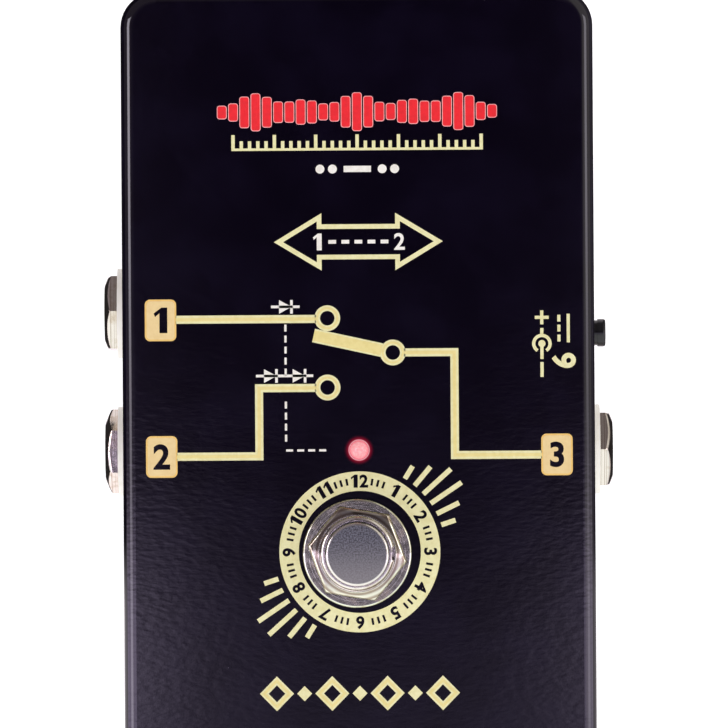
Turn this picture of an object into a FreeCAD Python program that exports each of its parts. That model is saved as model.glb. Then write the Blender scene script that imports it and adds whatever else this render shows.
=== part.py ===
import FreeCAD, Part
import math
import os
import Sketcher

Vector = FreeCAD.Vector
Rotation = FreeCAD.Rotation

doc = FreeCAD.newDocument("ab_switch_pedal")

# Driving sizes, in millimetres and degrees.
# The origin is the middle of the surface under the feet, +Y runs to the pedal's top end, +Z is up.
sizes = {
    # cast box
    "case_width": 76,
    "case_length": 125,
    "case_height": 31,
    "case_wall": 2.2,
    "case_roof": 2.6,
    "case_corner": 5.8,
    "case_edge": 2,
    "boss_diameter": 8.4,
    "boss_merge": 0.6,
    "boss_hole_spare": 1.5,
    # cover under the box
    "cover_thickness": 1.6,
    "cover_margin": 0.25,
    "cover_screw_diameter": 3,
    "cover_screw_length": 9,
    "cover_head_diameter": 5.6,
    "cover_head_depth": 1.3,
    "screw_slot_width": 0.7,
    "screw_slot_depth": 0.9,
    "foot_diameter": 12,
    "foot_height": 2.2,
    "foot_taper": 0.6,
    "foot_inset": 15,
    # fits
    "hole_clearance": 0.15,
    "fit_clearance": 0.05,
    "slide_clearance": 0.1,
    # foot switch, outside the panel
    "switch_shift": -0.4,
    "switch_south": 28.1,
    "bushing_diameter": 12,
    "bushing_proud": 4.8,
    "keyway_width": 2.1,
    "keyway_depth": 0.45,
    "washer_width": 2.75,
    "washer_thickness": 1,
    "nut_wall": 1,
    "nut_thickness": 2.1,
    "nut_land": 0.2,
    "nut_drop": 0.3,
    "nut_rounding": 0.5,
    "nut_turn": 50.5,
    "bushing_wall": 0.8,
    "bushing_rounding": 0.6,
    "button_proud": 10.2,
    "button_rounding": 0.4,
    "button_travel": 3,
    # foot switch, inside the panel
    "lock_washer_width": 2,
    "lock_washer_thickness": 0.6,
    "lower_nut_thickness": 2,
    "spare_thread": 0.7,
    "frame_thickness": 1.1,
    "frame_strap": 0.6,
    "frame_strap_width": 10,
    "frame_tab": 1.2,
    "housing_side": 17.2,
    "housing_height": 12.5,
    "housing_wall": 1.3,
    "housing_roof": 1.5,
    "button_skirt_gap": 1.2,
    "button_wall": 1.2,
    "button_bore_depth": 7.5,
    "stem_diameter": 4,
    "stem_clip_diameter": 7,
    "stem_clip_thickness": 0.6,
    "stem_gap": 0.5,
    "spring_gap": 0.4,
    "spring_wire": 0.6,
    "spring_turns": 6,
    "base_thickness": 1.6,
    "lug_width": 2,
    "lug_thickness": 0.8,
    "lug_length": 4.4,
    "cheek_thickness": 0.85,
    "contact_height": 0.5,
    "contact_width": 2.4,
    "blade_overhang": 0.45,
    "blade_width": 2.4,
    "blade_thickness": 0.4,
    "contact_gap": 0.15,
    "rocker_tilt": 11,
    "rocker_width": 4.2,
    "rocker_height": 3,
    "rocker_end_gap": 0.4,
    "trunnion_diameter": 1.8,
    # jacks
    "jack_depth": 16.2,
    "jack_a_north": 10.8,
    "jack_b_south": 11.6,
    "jack_c_south": 11.7,
    "jack_bore": 6.5,
    "jack_thread_wall": 1.25,
    "jack_washer_width": 2.75,
    "jack_washer_thickness": 1.05,
    "jack_nut_wall": 1.4,
    "jack_nut_thickness": 2.1,
    "jack_nut_land": 0.1,
    "jack_nut_drop": 1,
    "jack_nut_rounding": 0.4,
    "jack_a_nut_turn": 3,
    "jack_b_nut_turn": 30,
    "jack_c_nut_turn": 0,
    "jack_thread_recess": 0.3,
    "jack_plate_thickness": 1.2,
    "jack_plate_height": 14,
    "jack_arm_offset": 6.5,
    "jack_arm_length": 11,
    "jack_arm_width": 8,
    "wafer_thickness": 0.8,
    "wafer_setback": 1.8,
    "tip_thickness": 0.5,
    "tip_width": 4,
    "tip_reach": 27.5,
    "tip_height": 1.9,
    "tip_straight": 3.5,
    "tip_flare": 1.9,
    "tip_root_gap": 0.12,
    "tail_length": 5.5,
    "tail_width": 2.4,
    "rivet_diameter": 2,
    "rivet_head_diameter": 3.6,
    "rivet_head_height": 0.5,
    "rivet_insulation": 0.6,
    # circuit board and what it carries
    "board_wall_gap": 1.8,
    "board_switch_gap": 2.7,
    "board_west": 10,
    "board_north": 13.8,
    "board_thickness": 1.6,
    "board_headroom": 0.7,
    "standoff_diameter": 5,
    "board_screw_diameter": 2.5,
    "board_screw_length": 5,
    "board_screw_head_diameter": 4.6,
    "board_screw_head_height": 1.6,
    "standoff_inset": 4,
    "lamp_inset": 4.7,
    "lamp_diameter": 3,
    "lamp_length": 5,
    "lamp_flange_width": 0.45,
    "lamp_flange_thickness": 0.9,
    "lead_diameter": 0.5,
    "lead_pitch": 1.27,
    "lead_stub": 1.2,
    "resistor_diameter": 2.3,
    "resistor_length": 6.3,
    "resistor_span": 10.2,
    "resistor_pitch": 4,
    "resistor_east": 6,
    "resistor_north": 2,
    "diode_diameter": 2.6,
    "diode_length": 5,
    # DC inlet
    "inlet_north": 7.15,
    "inlet_proud": 2,
    "inlet_bore": 3.6,
    "inlet_lip_wall": 0.45,
    "inlet_neck_wall": 0.25,
    "inlet_lip": 1.3,
    "inlet_rounding": 0.38,
    "inlet_pin_diameter": 1.3,
    "inlet_pin_recess": 0.8,
    "inlet_bore_depth": 9.5,
    "inlet_length": 12,
    "inlet_width": 7.6,
    "inlet_height": 8,
    "inlet_setback": 0.1,
    "sleeve_slot_width": 2.4,
    "sleeve_thickness": 0.3,
    "sleeve_width": 1.8,
    "sleeve_length": 3.8,
    "sleeve_slot_depth": 1.3,
    # wires between the jacks, the switch and the board
    "wire_diameter": 1.2,
    "wire_bend": 3,
    "wire_gap": 0.3,
    "wire_bow": 3,
    "wire_wall_gap": 1.8,
}

# Places and sizes that follow from the driving ones.
places = {
    "rim_z": "foot_height + cover_thickness",
    "top_z": "rim_z + case_height",
    "inner_top_z": "top_z - case_roof",
    "inner_x": "case_width / 2 - case_wall",
    "boss_x": "inner_x - boss_diameter / 2 + boss_merge",
    "boss_y": "case_length / 2 - case_wall - boss_diameter / 2 + boss_merge",
    "foot_x": "case_width / 2 - foot_inset",
    "foot_y": "case_length / 2 - foot_inset",
    "button_diameter": "bushing_diameter - 2 * bushing_wall - 2 * slide_clearance",
    "button_bore": "button_diameter - 2 * button_wall",
    "spring_diameter": "button_bore - 2 * spring_gap",
    "washer_diameter": "bushing_diameter + 2 * washer_width",
    "lock_washer_diameter": "bushing_diameter + 2 * lock_washer_width",
    "nut_flats": "bushing_diameter + 2 * nut_wall",
    "lug_pitch": "housing_side / 2 - housing_wall - rocker_end_gap - cheek_thickness"
                 " - slide_clearance - blade_width / 2",
    "blade_length": "2 * (lug_pitch + blade_overhang)",
    "frame_top_z": "inner_top_z - lock_washer_thickness - lower_nut_thickness - spare_thread",
    "housing_top_z": "frame_top_z - frame_thickness",
    "base_top_z": "housing_top_z - housing_height",
    "base_bottom_z": "base_top_z - base_thickness",
    "bushing_top_z": "top_z + bushing_proud",
    "button_top_z": "top_z + button_proud",
    "button_bottom_z": "housing_top_z + button_travel + button_skirt_gap",
    "clip_top_z": "housing_top_z - housing_roof - fit_clearance",
    "pivot_z": "base_top_z + contact_height + blade_length / 2 * sin(rocker_tilt * 1deg)"
               " + blade_thickness / 2 + contact_gap",
    "rocker_top_z": "pivot_z + (blade_thickness / 2 + rocker_height) * cos(rocker_tilt * 1deg)"
                    " + rocker_width / 2 * sin(rocker_tilt * 1deg)",
    "stem_bottom_z": "rocker_top_z + button_travel + stem_gap",
    "jack_z": "top_z - jack_depth",
    "jack_thread": "jack_bore + 2 * jack_thread_wall",
    "jack_washer_diameter": "jack_thread + 2 * jack_washer_width",
    "jack_nut_flats": "jack_thread + 2 * jack_nut_wall",
    "jack_nut_flat_diameter": "jack_thread + 2 * jack_nut_land",
    "board_top_z": "inner_top_z - board_headroom - max(resistor_diameter; diode_diameter)",
    "board_bottom_z": "board_top_z - board_thickness",
    "board_east": "inner_x - board_wall_gap",
    "board_south": "switch_south - housing_side / 2 - frame_strap - board_switch_gap",
    "lamp_south": "board_south - lamp_inset",
    "inlet_z": "board_bottom_z - inlet_height / 2",
    "inlet_nose_diameter": "inlet_bore + 2 * inlet_lip_wall",
    "inlet_neck_diameter": "inlet_bore + 2 * inlet_neck_wall",
    "low_run_z": "rim_z + wire_diameter / 2 + wire_gap",
    "high_run_z": "low_run_z + wire_diameter + wire_gap",
}


def fill_sheet(name, values, formula):
    """Write names and values down two columns, and give each value cell its name as alias."""
    sheet = doc.addObject("Spreadsheet::Sheet", name)
    for row, (alias, value) in enumerate(values.items(), start=1):
        sheet.set("A%d" % row, alias)
        sheet.set("B%d" % row, formula(value))
        sheet.setAlias("B%d" % row, alias)
        sheet.recompute()
    return sheet


def with_sheet(text):
    """Put the sheet's name before each size that an expression names."""
    words = []
    word = ""
    for mark in text + " ":
        if mark.isalnum() or mark in "_.":
            word += mark
            continue
        if word in sizes:
            word = "Dims." + word
        elif word in places:
            word = "Places." + word
        words.append(word + mark)
        word = ""
    return "".join(words).strip()


dims_sheet = fill_sheet("Dims", sizes, str)
places_sheet = fill_sheet("Places", places, lambda text: "=" + with_sheet(text).replace("Places.", ""))
doc.recompute()


def value(text):
    """The number that an expression on the sheets gives now."""
    result = dims_sheet.evalExpression(with_sheet(text))
    return float(getattr(result, "Value", result))


def bind(thing, **properties):
    """Tie properties to expressions on the sheets; Base_x stands for Placement.Base.x."""
    for name, text in properties.items():
        path = name.replace("Base_", "Placement.Base.")
        thing.setExpression(path, with_sheet(text))
    return thing


def put(thing, x="0", y="0", z="0", turn=None):
    """Give a piece its place, and its turn when it has one."""
    if turn is not None:
        thing.Placement = FreeCAD.Placement(Vector(), turn)
    return bind(thing, Base_x=x, Base_y=y, Base_z=z)


# Sketches and PartDesign features

def new_body(name, x="0", y="0", z="0", turn=None):
    body = doc.addObject("PartDesign::Body", name)
    return put(body, x, y, z, turn)


def sketch(body, name, plane, offset="0"):
    """A sketch on one of the body's own origin planes, moved along the plane's normal."""
    drawing = body.newObject("Sketcher::SketchObject", body.Label + "_" + name)
    support = next(item for item in body.Origin.OriginFeatures if item.Role == plane)
    drawing.AttachmentSupport = [(support, "")]
    drawing.MapMode = "FlatFace"
    drawing.setExpression("AttachmentOffset.Base.z", with_sheet(offset))
    return drawing


def tie_point(drawing, edge, end, x, y):
    """Hold a point of the sketch at the place that two expressions give."""
    for kind, text in (("DistanceX", x), ("DistanceY", y)):
        number = drawing.addConstraint(Sketcher.Constraint(kind, -1, 1, edge, end, value(text)))
        drawing.setExpression("Constraints[%d]" % number, with_sheet(text))


def polygon(drawing, corners):
    """A closed outline of straight lines through corners that are given as expressions."""
    first = drawing.GeometryCount
    spots = [Vector(value(x), value(y), 0) for x, y in corners]
    for spot, following in zip(spots, spots[1:] + spots[:1]):
        drawing.addGeometry(Part.LineSegment(spot, following), False)
    count = len(corners)
    for index, (x, y) in enumerate(corners):
        before = first + (index - 1) % count
        drawing.addConstraint(Sketcher.Constraint("Coincident", before, 2, first + index, 1))
        tie_point(drawing, first + index, 1, x, y)


def rectangle(drawing, low_x, high_x, low_y, high_y):
    polygon(drawing, [(low_x, low_y), (high_x, low_y), (high_x, high_y), (low_x, high_y)])


def circle(drawing, x, y, diameter):
    spot = Vector(value(x), value(y), 0)
    edge = drawing.addGeometry(Part.Circle(spot, Vector(0, 0, 1), value(diameter) / 2), False)
    tie_point(drawing, edge, 3, x, y)
    number = drawing.addConstraint(Sketcher.Constraint("Diameter", edge, value(diameter)))
    drawing.setExpression("Constraints[%d]" % number, with_sheet(diameter))


def rounded_rectangle(drawing, width, length, corner):
    """A rectangle about the sketch's origin, with four tangent corner arcs."""
    half_x, half_y, radius = value(width) / 2, value(length) / 2, value(corner)
    quarters = [(1, -1), (1, 1), (-1, 1), (-1, -1)]
    for index, (side_x, side_y) in enumerate(quarters):
        centre = Vector(side_x * (half_x - radius), side_y * (half_y - radius), 0)
        start = math.radians(90 * index - 90)
        arc = Part.ArcOfCircle(Part.Circle(centre, Vector(0, 0, 1), radius), start, start + math.pi / 2)
        drawing.addGeometry(arc, False)
    for index in range(4):
        start = drawing.getPoint(index, 2)
        end = drawing.getPoint((index + 1) % 4, 1)
        drawing.addGeometry(Part.LineSegment(start, end), False)
    for index, (side_x, side_y) in enumerate(quarters):
        drawing.addConstraint(Sketcher.Constraint("Tangent", index, 2, 4 + index, 1))
        drawing.addConstraint(Sketcher.Constraint("Tangent", 4 + index, 2, (index + 1) % 4, 1))
        x = "%d * ((%s) / 2 - (%s))" % (side_x, width, corner)
        y = "%d * ((%s) / 2 - (%s))" % (side_y, length, corner)
        tie_point(drawing, index, 3, x, y)
        number = drawing.addConstraint(Sketcher.Constraint("Radius", index, radius))
        drawing.setExpression("Constraints[%d]" % number, with_sheet(corner))


def pad(body, name, drawing, length, backwards=False, both_ways=False):
    feature = body.newObject("PartDesign::Pad", body.Label + "_" + name)
    feature.Profile = drawing
    feature.Reversed = backwards
    feature.Midplane = both_ways
    bind(feature, Length=length)
    doc.recompute()
    return feature


def pocket(body, name, drawing, depth, backwards=False, both_ways=False):
    """A pocket against the sketch's normal, or along it when it runs backwards."""
    before = body.Shape.Volume
    feature = body.newObject("PartDesign::Pocket", body.Label + "_" + name)
    feature.Profile = drawing
    feature.Reversed = backwards
    feature.Midplane = both_ways
    bind(feature, Length=depth)
    doc.recompute()
    if body.Shape.Volume >= before:
        raise RuntimeError(feature.Label + " cuts nothing")
    return feature


def revolve(body, name, drawing):
    """A full turn of the profile about the sketch's upright axis."""
    feature = body.newObject("PartDesign::Revolution", body.Label + "_" + name)
    feature.Profile = drawing
    feature.ReferenceAxis = (drawing, ["V_Axis"])
    feature.Angle = 360
    doc.recompute()
    return feature


def soften(body, name, base, radius, wanted):
    """A fillet on the base's edges that the test picks."""
    edges = ["Edge%d" % number for number, edge in enumerate(base.Shape.Edges, start=1) if wanted(edge)]
    feature = body.newObject("PartDesign::Fillet", body.Label + "_" + name)
    feature.Base = (base, edges)
    bind(feature, Radius=radius)
    doc.recompute()
    return feature


def lies_at(height, least_radius=0.0):
    """A test for edges that lie level at a height of their body and reach far enough from its axis."""
    def test(edge):
        box = edge.BoundBox
        radius = max(abs(box.XMin), abs(box.XMax), abs(box.YMin), abs(box.YMax))
        return box.ZLength < 1e-6 and abs(box.ZMin - height) < 1e-6 and radius >= least_radius
    return test


# Part primitives and booleans

def box(name, low_x, high_x, low_y, high_y, low_z, high_z):
    block = doc.addObject("Part::Box", name)
    spans = [(low_x, high_x), (low_y, high_y), (low_z, high_z)]
    for side, (low, high) in zip(("Length", "Width", "Height"), spans):
        block.setExpression(side, with_sheet("(%s) - (%s)" % (high, low)))
    return put(block, low_x, low_y, low_z)


def cylinder(name, diameter, low_z, high_z, x="0", y="0"):
    rod = doc.addObject("Part::Cylinder", name)
    bind(rod, Radius="(%s) / 2" % diameter, Height="(%s) - (%s)" % (high_z, low_z))
    return put(rod, x, y, low_z)


def rod_along(name, axis, diameter, start, length, across):
    """A cylinder along +X or +Y from a start, with its other two places in across."""
    rod = doc.addObject("Part::Cylinder", name)
    bind(rod, Radius="(%s) / 2" % diameter, Height=length)
    if axis == "x":
        return put(rod, start, across[0], across[1], Rotation(Vector(0, 1, 0), 90))
    return put(rod, across[0], start, across[1], Rotation(Vector(1, 0, 0), -90))


def boolean(kind, name, base, tool):
    result = doc.addObject("Part::" + kind, name)
    result.Base = base
    result.Tool = tool
    return result


def fused(name, pieces):
    result = doc.addObject("Part::MultiFuse", name)
    result.Shapes = pieces
    return result


def group(name, pieces):
    result = doc.addObject("Part::Compound", name)
    result.Links = pieces
    return result


def mirrored(name, source, normal):
    copy = doc.addObject("Part::Mirroring", name)
    copy.Source = source
    copy.Normal = normal
    return copy


def four_corners(name, piece):
    """The piece and its mirror images across the middle planes, as one group."""
    right = mirrored(name + "_right", piece, Vector(1, 0, 0))
    north = mirrored(name + "_north", piece, Vector(0, 1, 0))
    both = mirrored(name + "_both", right, Vector(0, 1, 0))
    return group(name, [piece, right, north, both])


def ring(name, outer, bore, low_z, high_z):
    disc = cylinder(name + "_disc", outer, low_z, high_z)
    hole = cylinder(name + "_hole", bore, low_z, high_z)
    return boolean("Cut", name, disc, hole)


def hex_nut(name, flats, bore, low_z, high_z, flat_diameter, drop, rounding, turn):
    """A hexagon nut whose outer end is a ball's cap: flat within a circle, lower at the corners.

    The six arcs where the cap meets the flats are rounded.
    """
    prism = doc.addObject("Part::Prism", name + "_prism")
    prism.Polygon = 6
    corner = "((%s) / sqrt(3))" % flats
    bind(prism, Circumradius=corner, Height="(%s) - (%s)" % (high_z, low_z))
    put(prism, z=low_z, turn=Rotation(Vector(0, 0, 1), value(turn)))
    prism.setExpression("Placement.Rotation.Angle", with_sheet(turn))
    depth = "((%s ^ 2 - (%s) ^ 2 / 4 + (%s) ^ 2) / (2 * (%s)))" % (corner, flat_diameter, drop, drop)
    ball = doc.addObject("Part::Sphere", name + "_ball")
    bind(ball, Radius="sqrt(%s ^ 2 + (%s) ^ 2 / 4)" % (depth, flat_diameter))
    put(ball, z="(%s) - %s" % (high_z, depth))
    capped = boolean("Common", name + "_capped", prism, ball)
    doc.recompute()
    eased = doc.addObject("Part::Fillet", name + "_eased")
    eased.Base = capped
    arcs = []
    for number, edge in enumerate(capped.Shape.Edges, start=1):
        climbs = edge.BoundBox.ZLength > 1e-6
        if climbs and isinstance(edge.Curve, Part.Circle) and edge.Curve.Radius < ball.Radius.Value - 1e-6:
            arcs.append((number, value(rounding), value(rounding)))
    eased.Edges = arcs
    hole = cylinder(name + "_hole", bore, low_z, high_z)
    return boolean("Cut", name, eased, hole)


def swept_rod(path, diameter):
    """A round rod along a path of lines and tangent arcs, from the path's first end."""
    first = path.OrderedEdges[0]
    heading = first.tangentAt(first.FirstParameter)
    section = Part.Wire(Part.makeCircle(diameter / 2, first.valueAt(first.FirstParameter), heading))
    rod = path.makePipeShell([section], True, False)
    expected = math.pi * diameter ** 2 / 4 * path.Length
    if abs(rod.Volume - expected) > 0.01 * expected:
        raise RuntimeError("a rod's volume is not its section times its length")
    return rod


nodes = []


def keep(piece, label):
    """Name a finished sub-part; its label becomes its file's name."""
    piece.Label = label
    nodes.append(piece)
    return piece


# The case

def make_case():
    body = new_body("enclosure_shell", z="rim_z")
    outline = sketch(body, "outline", "XY_Plane")
    rounded_rectangle(outline, "case_width", "case_length", "case_corner")
    block = pad(body, "block", outline, "case_height")
    soften(body, "top_edge", block, "case_edge", lies_at(value("case_height")))
    inside = sketch(body, "inside", "XY_Plane")
    rounded_rectangle(inside, "case_width - 2 * case_wall", "case_length - 2 * case_wall",
                      "case_corner - case_wall")
    pocket(body, "hollow", inside, "case_height - case_roof", backwards=True)
    bosses = sketch(body, "bosses", "XY_Plane")
    screw_holes = sketch(body, "screw_holes", "XY_Plane")
    for side_x in ("", "-"):
        for side_y in ("", "-"):
            circle(bosses, side_x + "boss_x", side_y + "boss_y", "boss_diameter")
            circle(screw_holes, side_x + "boss_x", side_y + "boss_y", "cover_screw_diameter")
    pad(body, "corner_bosses", bosses, "case_height - case_roof")
    pocket(body, "cover_screw_holes", screw_holes,
           "cover_screw_length - cover_thickness + boss_hole_spare", backwards=True)
    standoffs = sketch(body, "standoffs", "XY_Plane", "board_top_z - rim_z")
    board_holes = sketch(body, "board_holes", "XY_Plane", "board_top_z - rim_z")
    for x, y in board_screw_spots:
        circle(standoffs, x, y, "standoff_diameter")
        circle(board_holes, x, y, "board_screw_diameter")
    pad(body, "board_standoffs", standoffs, "inner_top_z - board_top_z")
    pocket(body, "board_screw_holes", board_holes, "board_screw_length - board_thickness + fit_clearance",
           backwards=True)
    panel = sketch(body, "panel_holes", "XY_Plane", "case_height")
    circle(panel, "switch_shift", "-switch_south", "bushing_diameter + 2 * hole_clearance")
    circle(panel, "0", "-lamp_south", "lamp_diameter + 2 * fit_clearance")
    pocket(body, "panel", panel, "case_roof")
    jack_hole = "jack_thread + 2 * hole_clearance"
    west = sketch(body, "west_holes", "YZ_Plane", "-case_width / 2")
    circle(west, "jack_a_north", "jack_z - rim_z", jack_hole)
    circle(west, "-jack_b_south", "jack_z - rim_z", jack_hole)
    pocket(body, "west", west, "case_wall", backwards=True)
    east = sketch(body, "east_holes", "YZ_Plane", "case_width / 2")
    circle(east, "-jack_c_south", "jack_z - rim_z", jack_hole)
    circle(east, "inlet_north", "inlet_z - rim_z", "inlet_nose_diameter + 2 * hole_clearance")
    pocket(body, "east", east, "case_wall")
    keep(body, "enclosure_shell")


def make_cover():
    body = new_body("cover_plate", z="foot_height")
    outline = sketch(body, "outline", "XY_Plane")
    rounded_rectangle(outline, "case_width - 2 * cover_margin", "case_length - 2 * cover_margin",
                      "case_corner - cover_margin")
    pad(body, "sheet", outline, "cover_thickness")
    sink = doc.addObject("Part::Cone", "cover_sink")
    bind(sink, Radius1="cover_head_diameter / 2 + fit_clearance",
         Radius2="cover_screw_diameter / 2 + fit_clearance", Height="cover_head_depth + fit_clearance")
    put(sink, "-boss_x", "-boss_y", "foot_height")
    hole = cylinder("cover_hole", "cover_screw_diameter + 2 * fit_clearance", "foot_height", "rim_z",
                    "-boss_x", "-boss_y")
    holes = four_corners("cover_holes", fused("cover_screw_hole", [sink, hole]))
    keep(boolean("Cut", "bottom_cover", body, holes), "bottom_cover")


def make_cover_screws():
    head = doc.addObject("Part::Cone", "cover_head")
    bind(head, Radius1="cover_head_diameter / 2", Radius2="cover_screw_diameter / 2 - fit_clearance",
         Height="cover_head_depth")
    put(head, "-boss_x", "-boss_y", "foot_height")
    shank = cylinder("cover_shank", "cover_screw_diameter - 2 * fit_clearance", "foot_height",
                     "foot_height + cover_screw_length", "-boss_x", "-boss_y")
    reach = "(cover_head_diameter / 4 + screw_slot_width / 2)"
    half = "screw_slot_width / 2"
    slots = []
    for name, wide_x, wide_y in (("slot_x", reach, half), ("slot_y", half, reach)):
        slots.append(box("cover_" + name, "-boss_x - " + wide_x, "-boss_x + " + wide_x,
                         "-boss_y - " + wide_y, "-boss_y + " + wide_y,
                         "foot_height", "foot_height + screw_slot_depth"))
    blank = fused("cover_screw_blank", [head, shank])
    screw = boolean("Cut", "cover_screw", blank, fused("cover_cross", slots))
    keep(four_corners("cover_screws", screw), "cover_screws")


def make_feet():
    foot = doc.addObject("Part::Cone", "foot")
    bind(foot, Radius1="foot_diameter / 2 - foot_taper", Radius2="foot_diameter / 2", Height="foot_height")
    put(foot, "-foot_x", "-foot_y")
    keep(four_corners("rubber_feet", foot), "rubber_feet")


# The foot switch, about its own upright axis

def at_switch(piece, z="0"):
    return put(piece, "switch_shift", "-switch_south", z)


def make_switch_frame():
    body = at_switch(doc.addObject("PartDesign::Body", "switch_frame"), "housing_top_z")
    half = "housing_side / 2"
    outer = "(housing_side / 2 + frame_strap)"
    strap = "frame_strap_width / 2"
    plate = sketch(body, "plate", "XY_Plane")
    rectangle(plate, "-" + half, half, "-" + outer, outer)
    pad(body, "top_plate", plate, "frame_thickness")
    below = "housing_height + base_thickness"
    straps = sketch(body, "straps", "XY_Plane")
    tabs = sketch(body, "tabs", "XY_Plane", "-(%s)" % below)
    for sign in ("", "-"):
        inner = "%s(%s - frame_tab)" % (sign, half)
        rectangle(straps, "-" + strap, strap, sign + half, sign + outer)
        rectangle(tabs, "-" + strap, strap, inner, sign + outer)
    pad(body, "side_straps", straps, below, backwards=True)
    pad(body, "bent_tabs", tabs, "frame_strap", backwards=True)
    tube = sketch(body, "tube", "XY_Plane")
    circle(tube, "0", "0", "bushing_diameter")
    bushing = pad(body, "bushing", tube, "bushing_top_z - housing_top_z")
    rim = lies_at(value("bushing_top_z - housing_top_z"))
    soften(body, "rim", bushing, "bushing_rounding", rim)
    bore = sketch(body, "bore", "XY_Plane", "bushing_top_z - housing_top_z")
    circle(bore, "0", "0", "button_diameter + 2 * slide_clearance")
    pocket(body, "button_bore", bore, "bushing_top_z - housing_top_z")
    key = sketch(body, "key", "XY_Plane", "bushing_top_z - housing_top_z")
    rectangle(key, "bushing_diameter / 2 - keyway_depth", "bushing_diameter / 2 + keyway_depth",
              "-keyway_width / 2", "keyway_width / 2")
    pocket(body, "keyway", key, "bushing_top_z - frame_top_z")
    keep(body, "switch_frame")


def make_switch_rings():
    """Washers and nuts that clamp the panel, from the lower nut up to the outer nut."""
    bore = "bushing_diameter + 2 * fit_clearance"
    wide_bore = "bushing_diameter + 2 * hole_clearance"
    nut_top = "inner_top_z - lock_washer_thickness"
    lower = hex_nut("switch_lower_nut", "nut_flats", bore, nut_top + " - lower_nut_thickness",
                    nut_top, "nut_flats - 2 * nut_rounding", "lower_nut_thickness / 4",
                    "nut_rounding / 2", "nut_turn")
    keep(at_switch(lower), "switch_lower_nut")
    lock = ring("switch_lock_washer", "lock_washer_diameter", wide_bore, nut_top, "inner_top_z")
    keep(at_switch(lock), "switch_lock_washer")
    washer = new_body("washer_body")
    washer_top = "washer_thickness"
    outline = sketch(washer, "outline", "XY_Plane")
    circle(outline, "0", "0", "washer_diameter")
    circle(outline, "0", "0", wide_bore)
    disc = pad(washer, "disc", outline, washer_top)
    soften(washer, "rim", disc, "washer_thickness / 3",
           lies_at(value(washer_top), value("washer_diameter / 2 - fit_clearance")))
    at_switch(washer, "top_z")
    keep(washer, "switch_washer")
    nut = hex_nut("switch_nut", "nut_flats", bore, "top_z + washer_thickness",
                  "top_z + washer_thickness + nut_thickness", "bushing_diameter + 2 * nut_land",
                  "nut_drop", "nut_rounding", "nut_turn")
    keep(at_switch(nut), "switch_nut")


def make_switch_housing():
    body = at_switch(doc.addObject("PartDesign::Body", "switch_housing"), "base_top_z")
    half = "housing_side / 2"
    inner = "(housing_side / 2 - housing_wall)"
    outline = sketch(body, "outline", "XY_Plane")
    rectangle(outline, "-" + half, half, "-" + half, half)
    pad(body, "block", outline, "housing_height")
    inside = sketch(body, "inside", "XY_Plane")
    rectangle(inside, "-" + inner, inner, "-" + inner, inner)
    pocket(body, "hollow", inside, "housing_height - housing_roof", backwards=True)
    guide = sketch(body, "guide", "XY_Plane", "housing_height")
    circle(guide, "0", "0", "stem_diameter + 2 * slide_clearance")
    pocket(body, "stem_guide", guide, "housing_roof")
    pivots = sketch(body, "pivots", "YZ_Plane")
    circle(pivots, "0", "pivot_z - base_top_z", "trunnion_diameter + 2 * fit_clearance")
    pocket(body, "pivot_holes", pivots, "housing_side", both_ways=True)
    keep(body, "switch_housing")


def lug_grid(name, half_x, half_y, low_z, high_z, rows=(-1, 0, 1)):
    """One box for each terminal: three poles along X, three rows along Y."""
    pieces = []
    for pole in (-1, 0, 1):
        for row in rows:
            centre_x = "%d * lug_pitch" % pole
            centre_y = "%d * lug_pitch" % row
            pieces.append(box("%s_%d_%d" % (name, pole + 2, row + 2),
                              "%s - %s" % (centre_x, half_x), "%s + %s" % (centre_x, half_x),
                              "%s - %s" % (centre_y, half_y), "%s + %s" % (centre_y, half_y),
                              low_z, high_z))
    return pieces


def make_switch_base():
    slots = lug_grid("lug_slot", "(lug_width / 2 + fit_clearance)", "(lug_thickness / 2 + fit_clearance)",
                     "base_bottom_z", "base_top_z")
    half = "housing_side / 2"
    slab = box("base_slab", "-" + half, half, "-" + half, half, "base_bottom_z", "base_top_z")
    base = boolean("Cut", "switch_base", slab, group("lug_slots", slots))
    keep(at_switch(base), "switch_base")
    strips = lug_grid("lug_strip", "lug_width / 2", "lug_thickness / 2",
                      "base_bottom_z - lug_length", "base_top_z")
    head = "contact_width / 2"
    heads = lug_grid("lug_head", head, head, "base_top_z", "base_top_z + contact_height")
    knives = lug_grid("lug_knife", head, "lug_thickness / 2", "base_top_z",
                      "pivot_z - blade_thickness / 2 - 2 * contact_gap", rows=(0,))
    lugs = fused("switch_lugs", strips + heads + knives)
    keep(at_switch(lugs), "switch_lugs")


def at_pivot(piece):
    """Set a piece of the rocker on its axle, tilted to the side where it rests."""
    at_switch(piece, "pivot_z")
    piece.Placement.Rotation = Rotation(Vector(-1, 0, 0), value("rocker_tilt"))
    piece.setExpression("Placement.Rotation.Angle", with_sheet("rocker_tilt"))
    return piece


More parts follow.
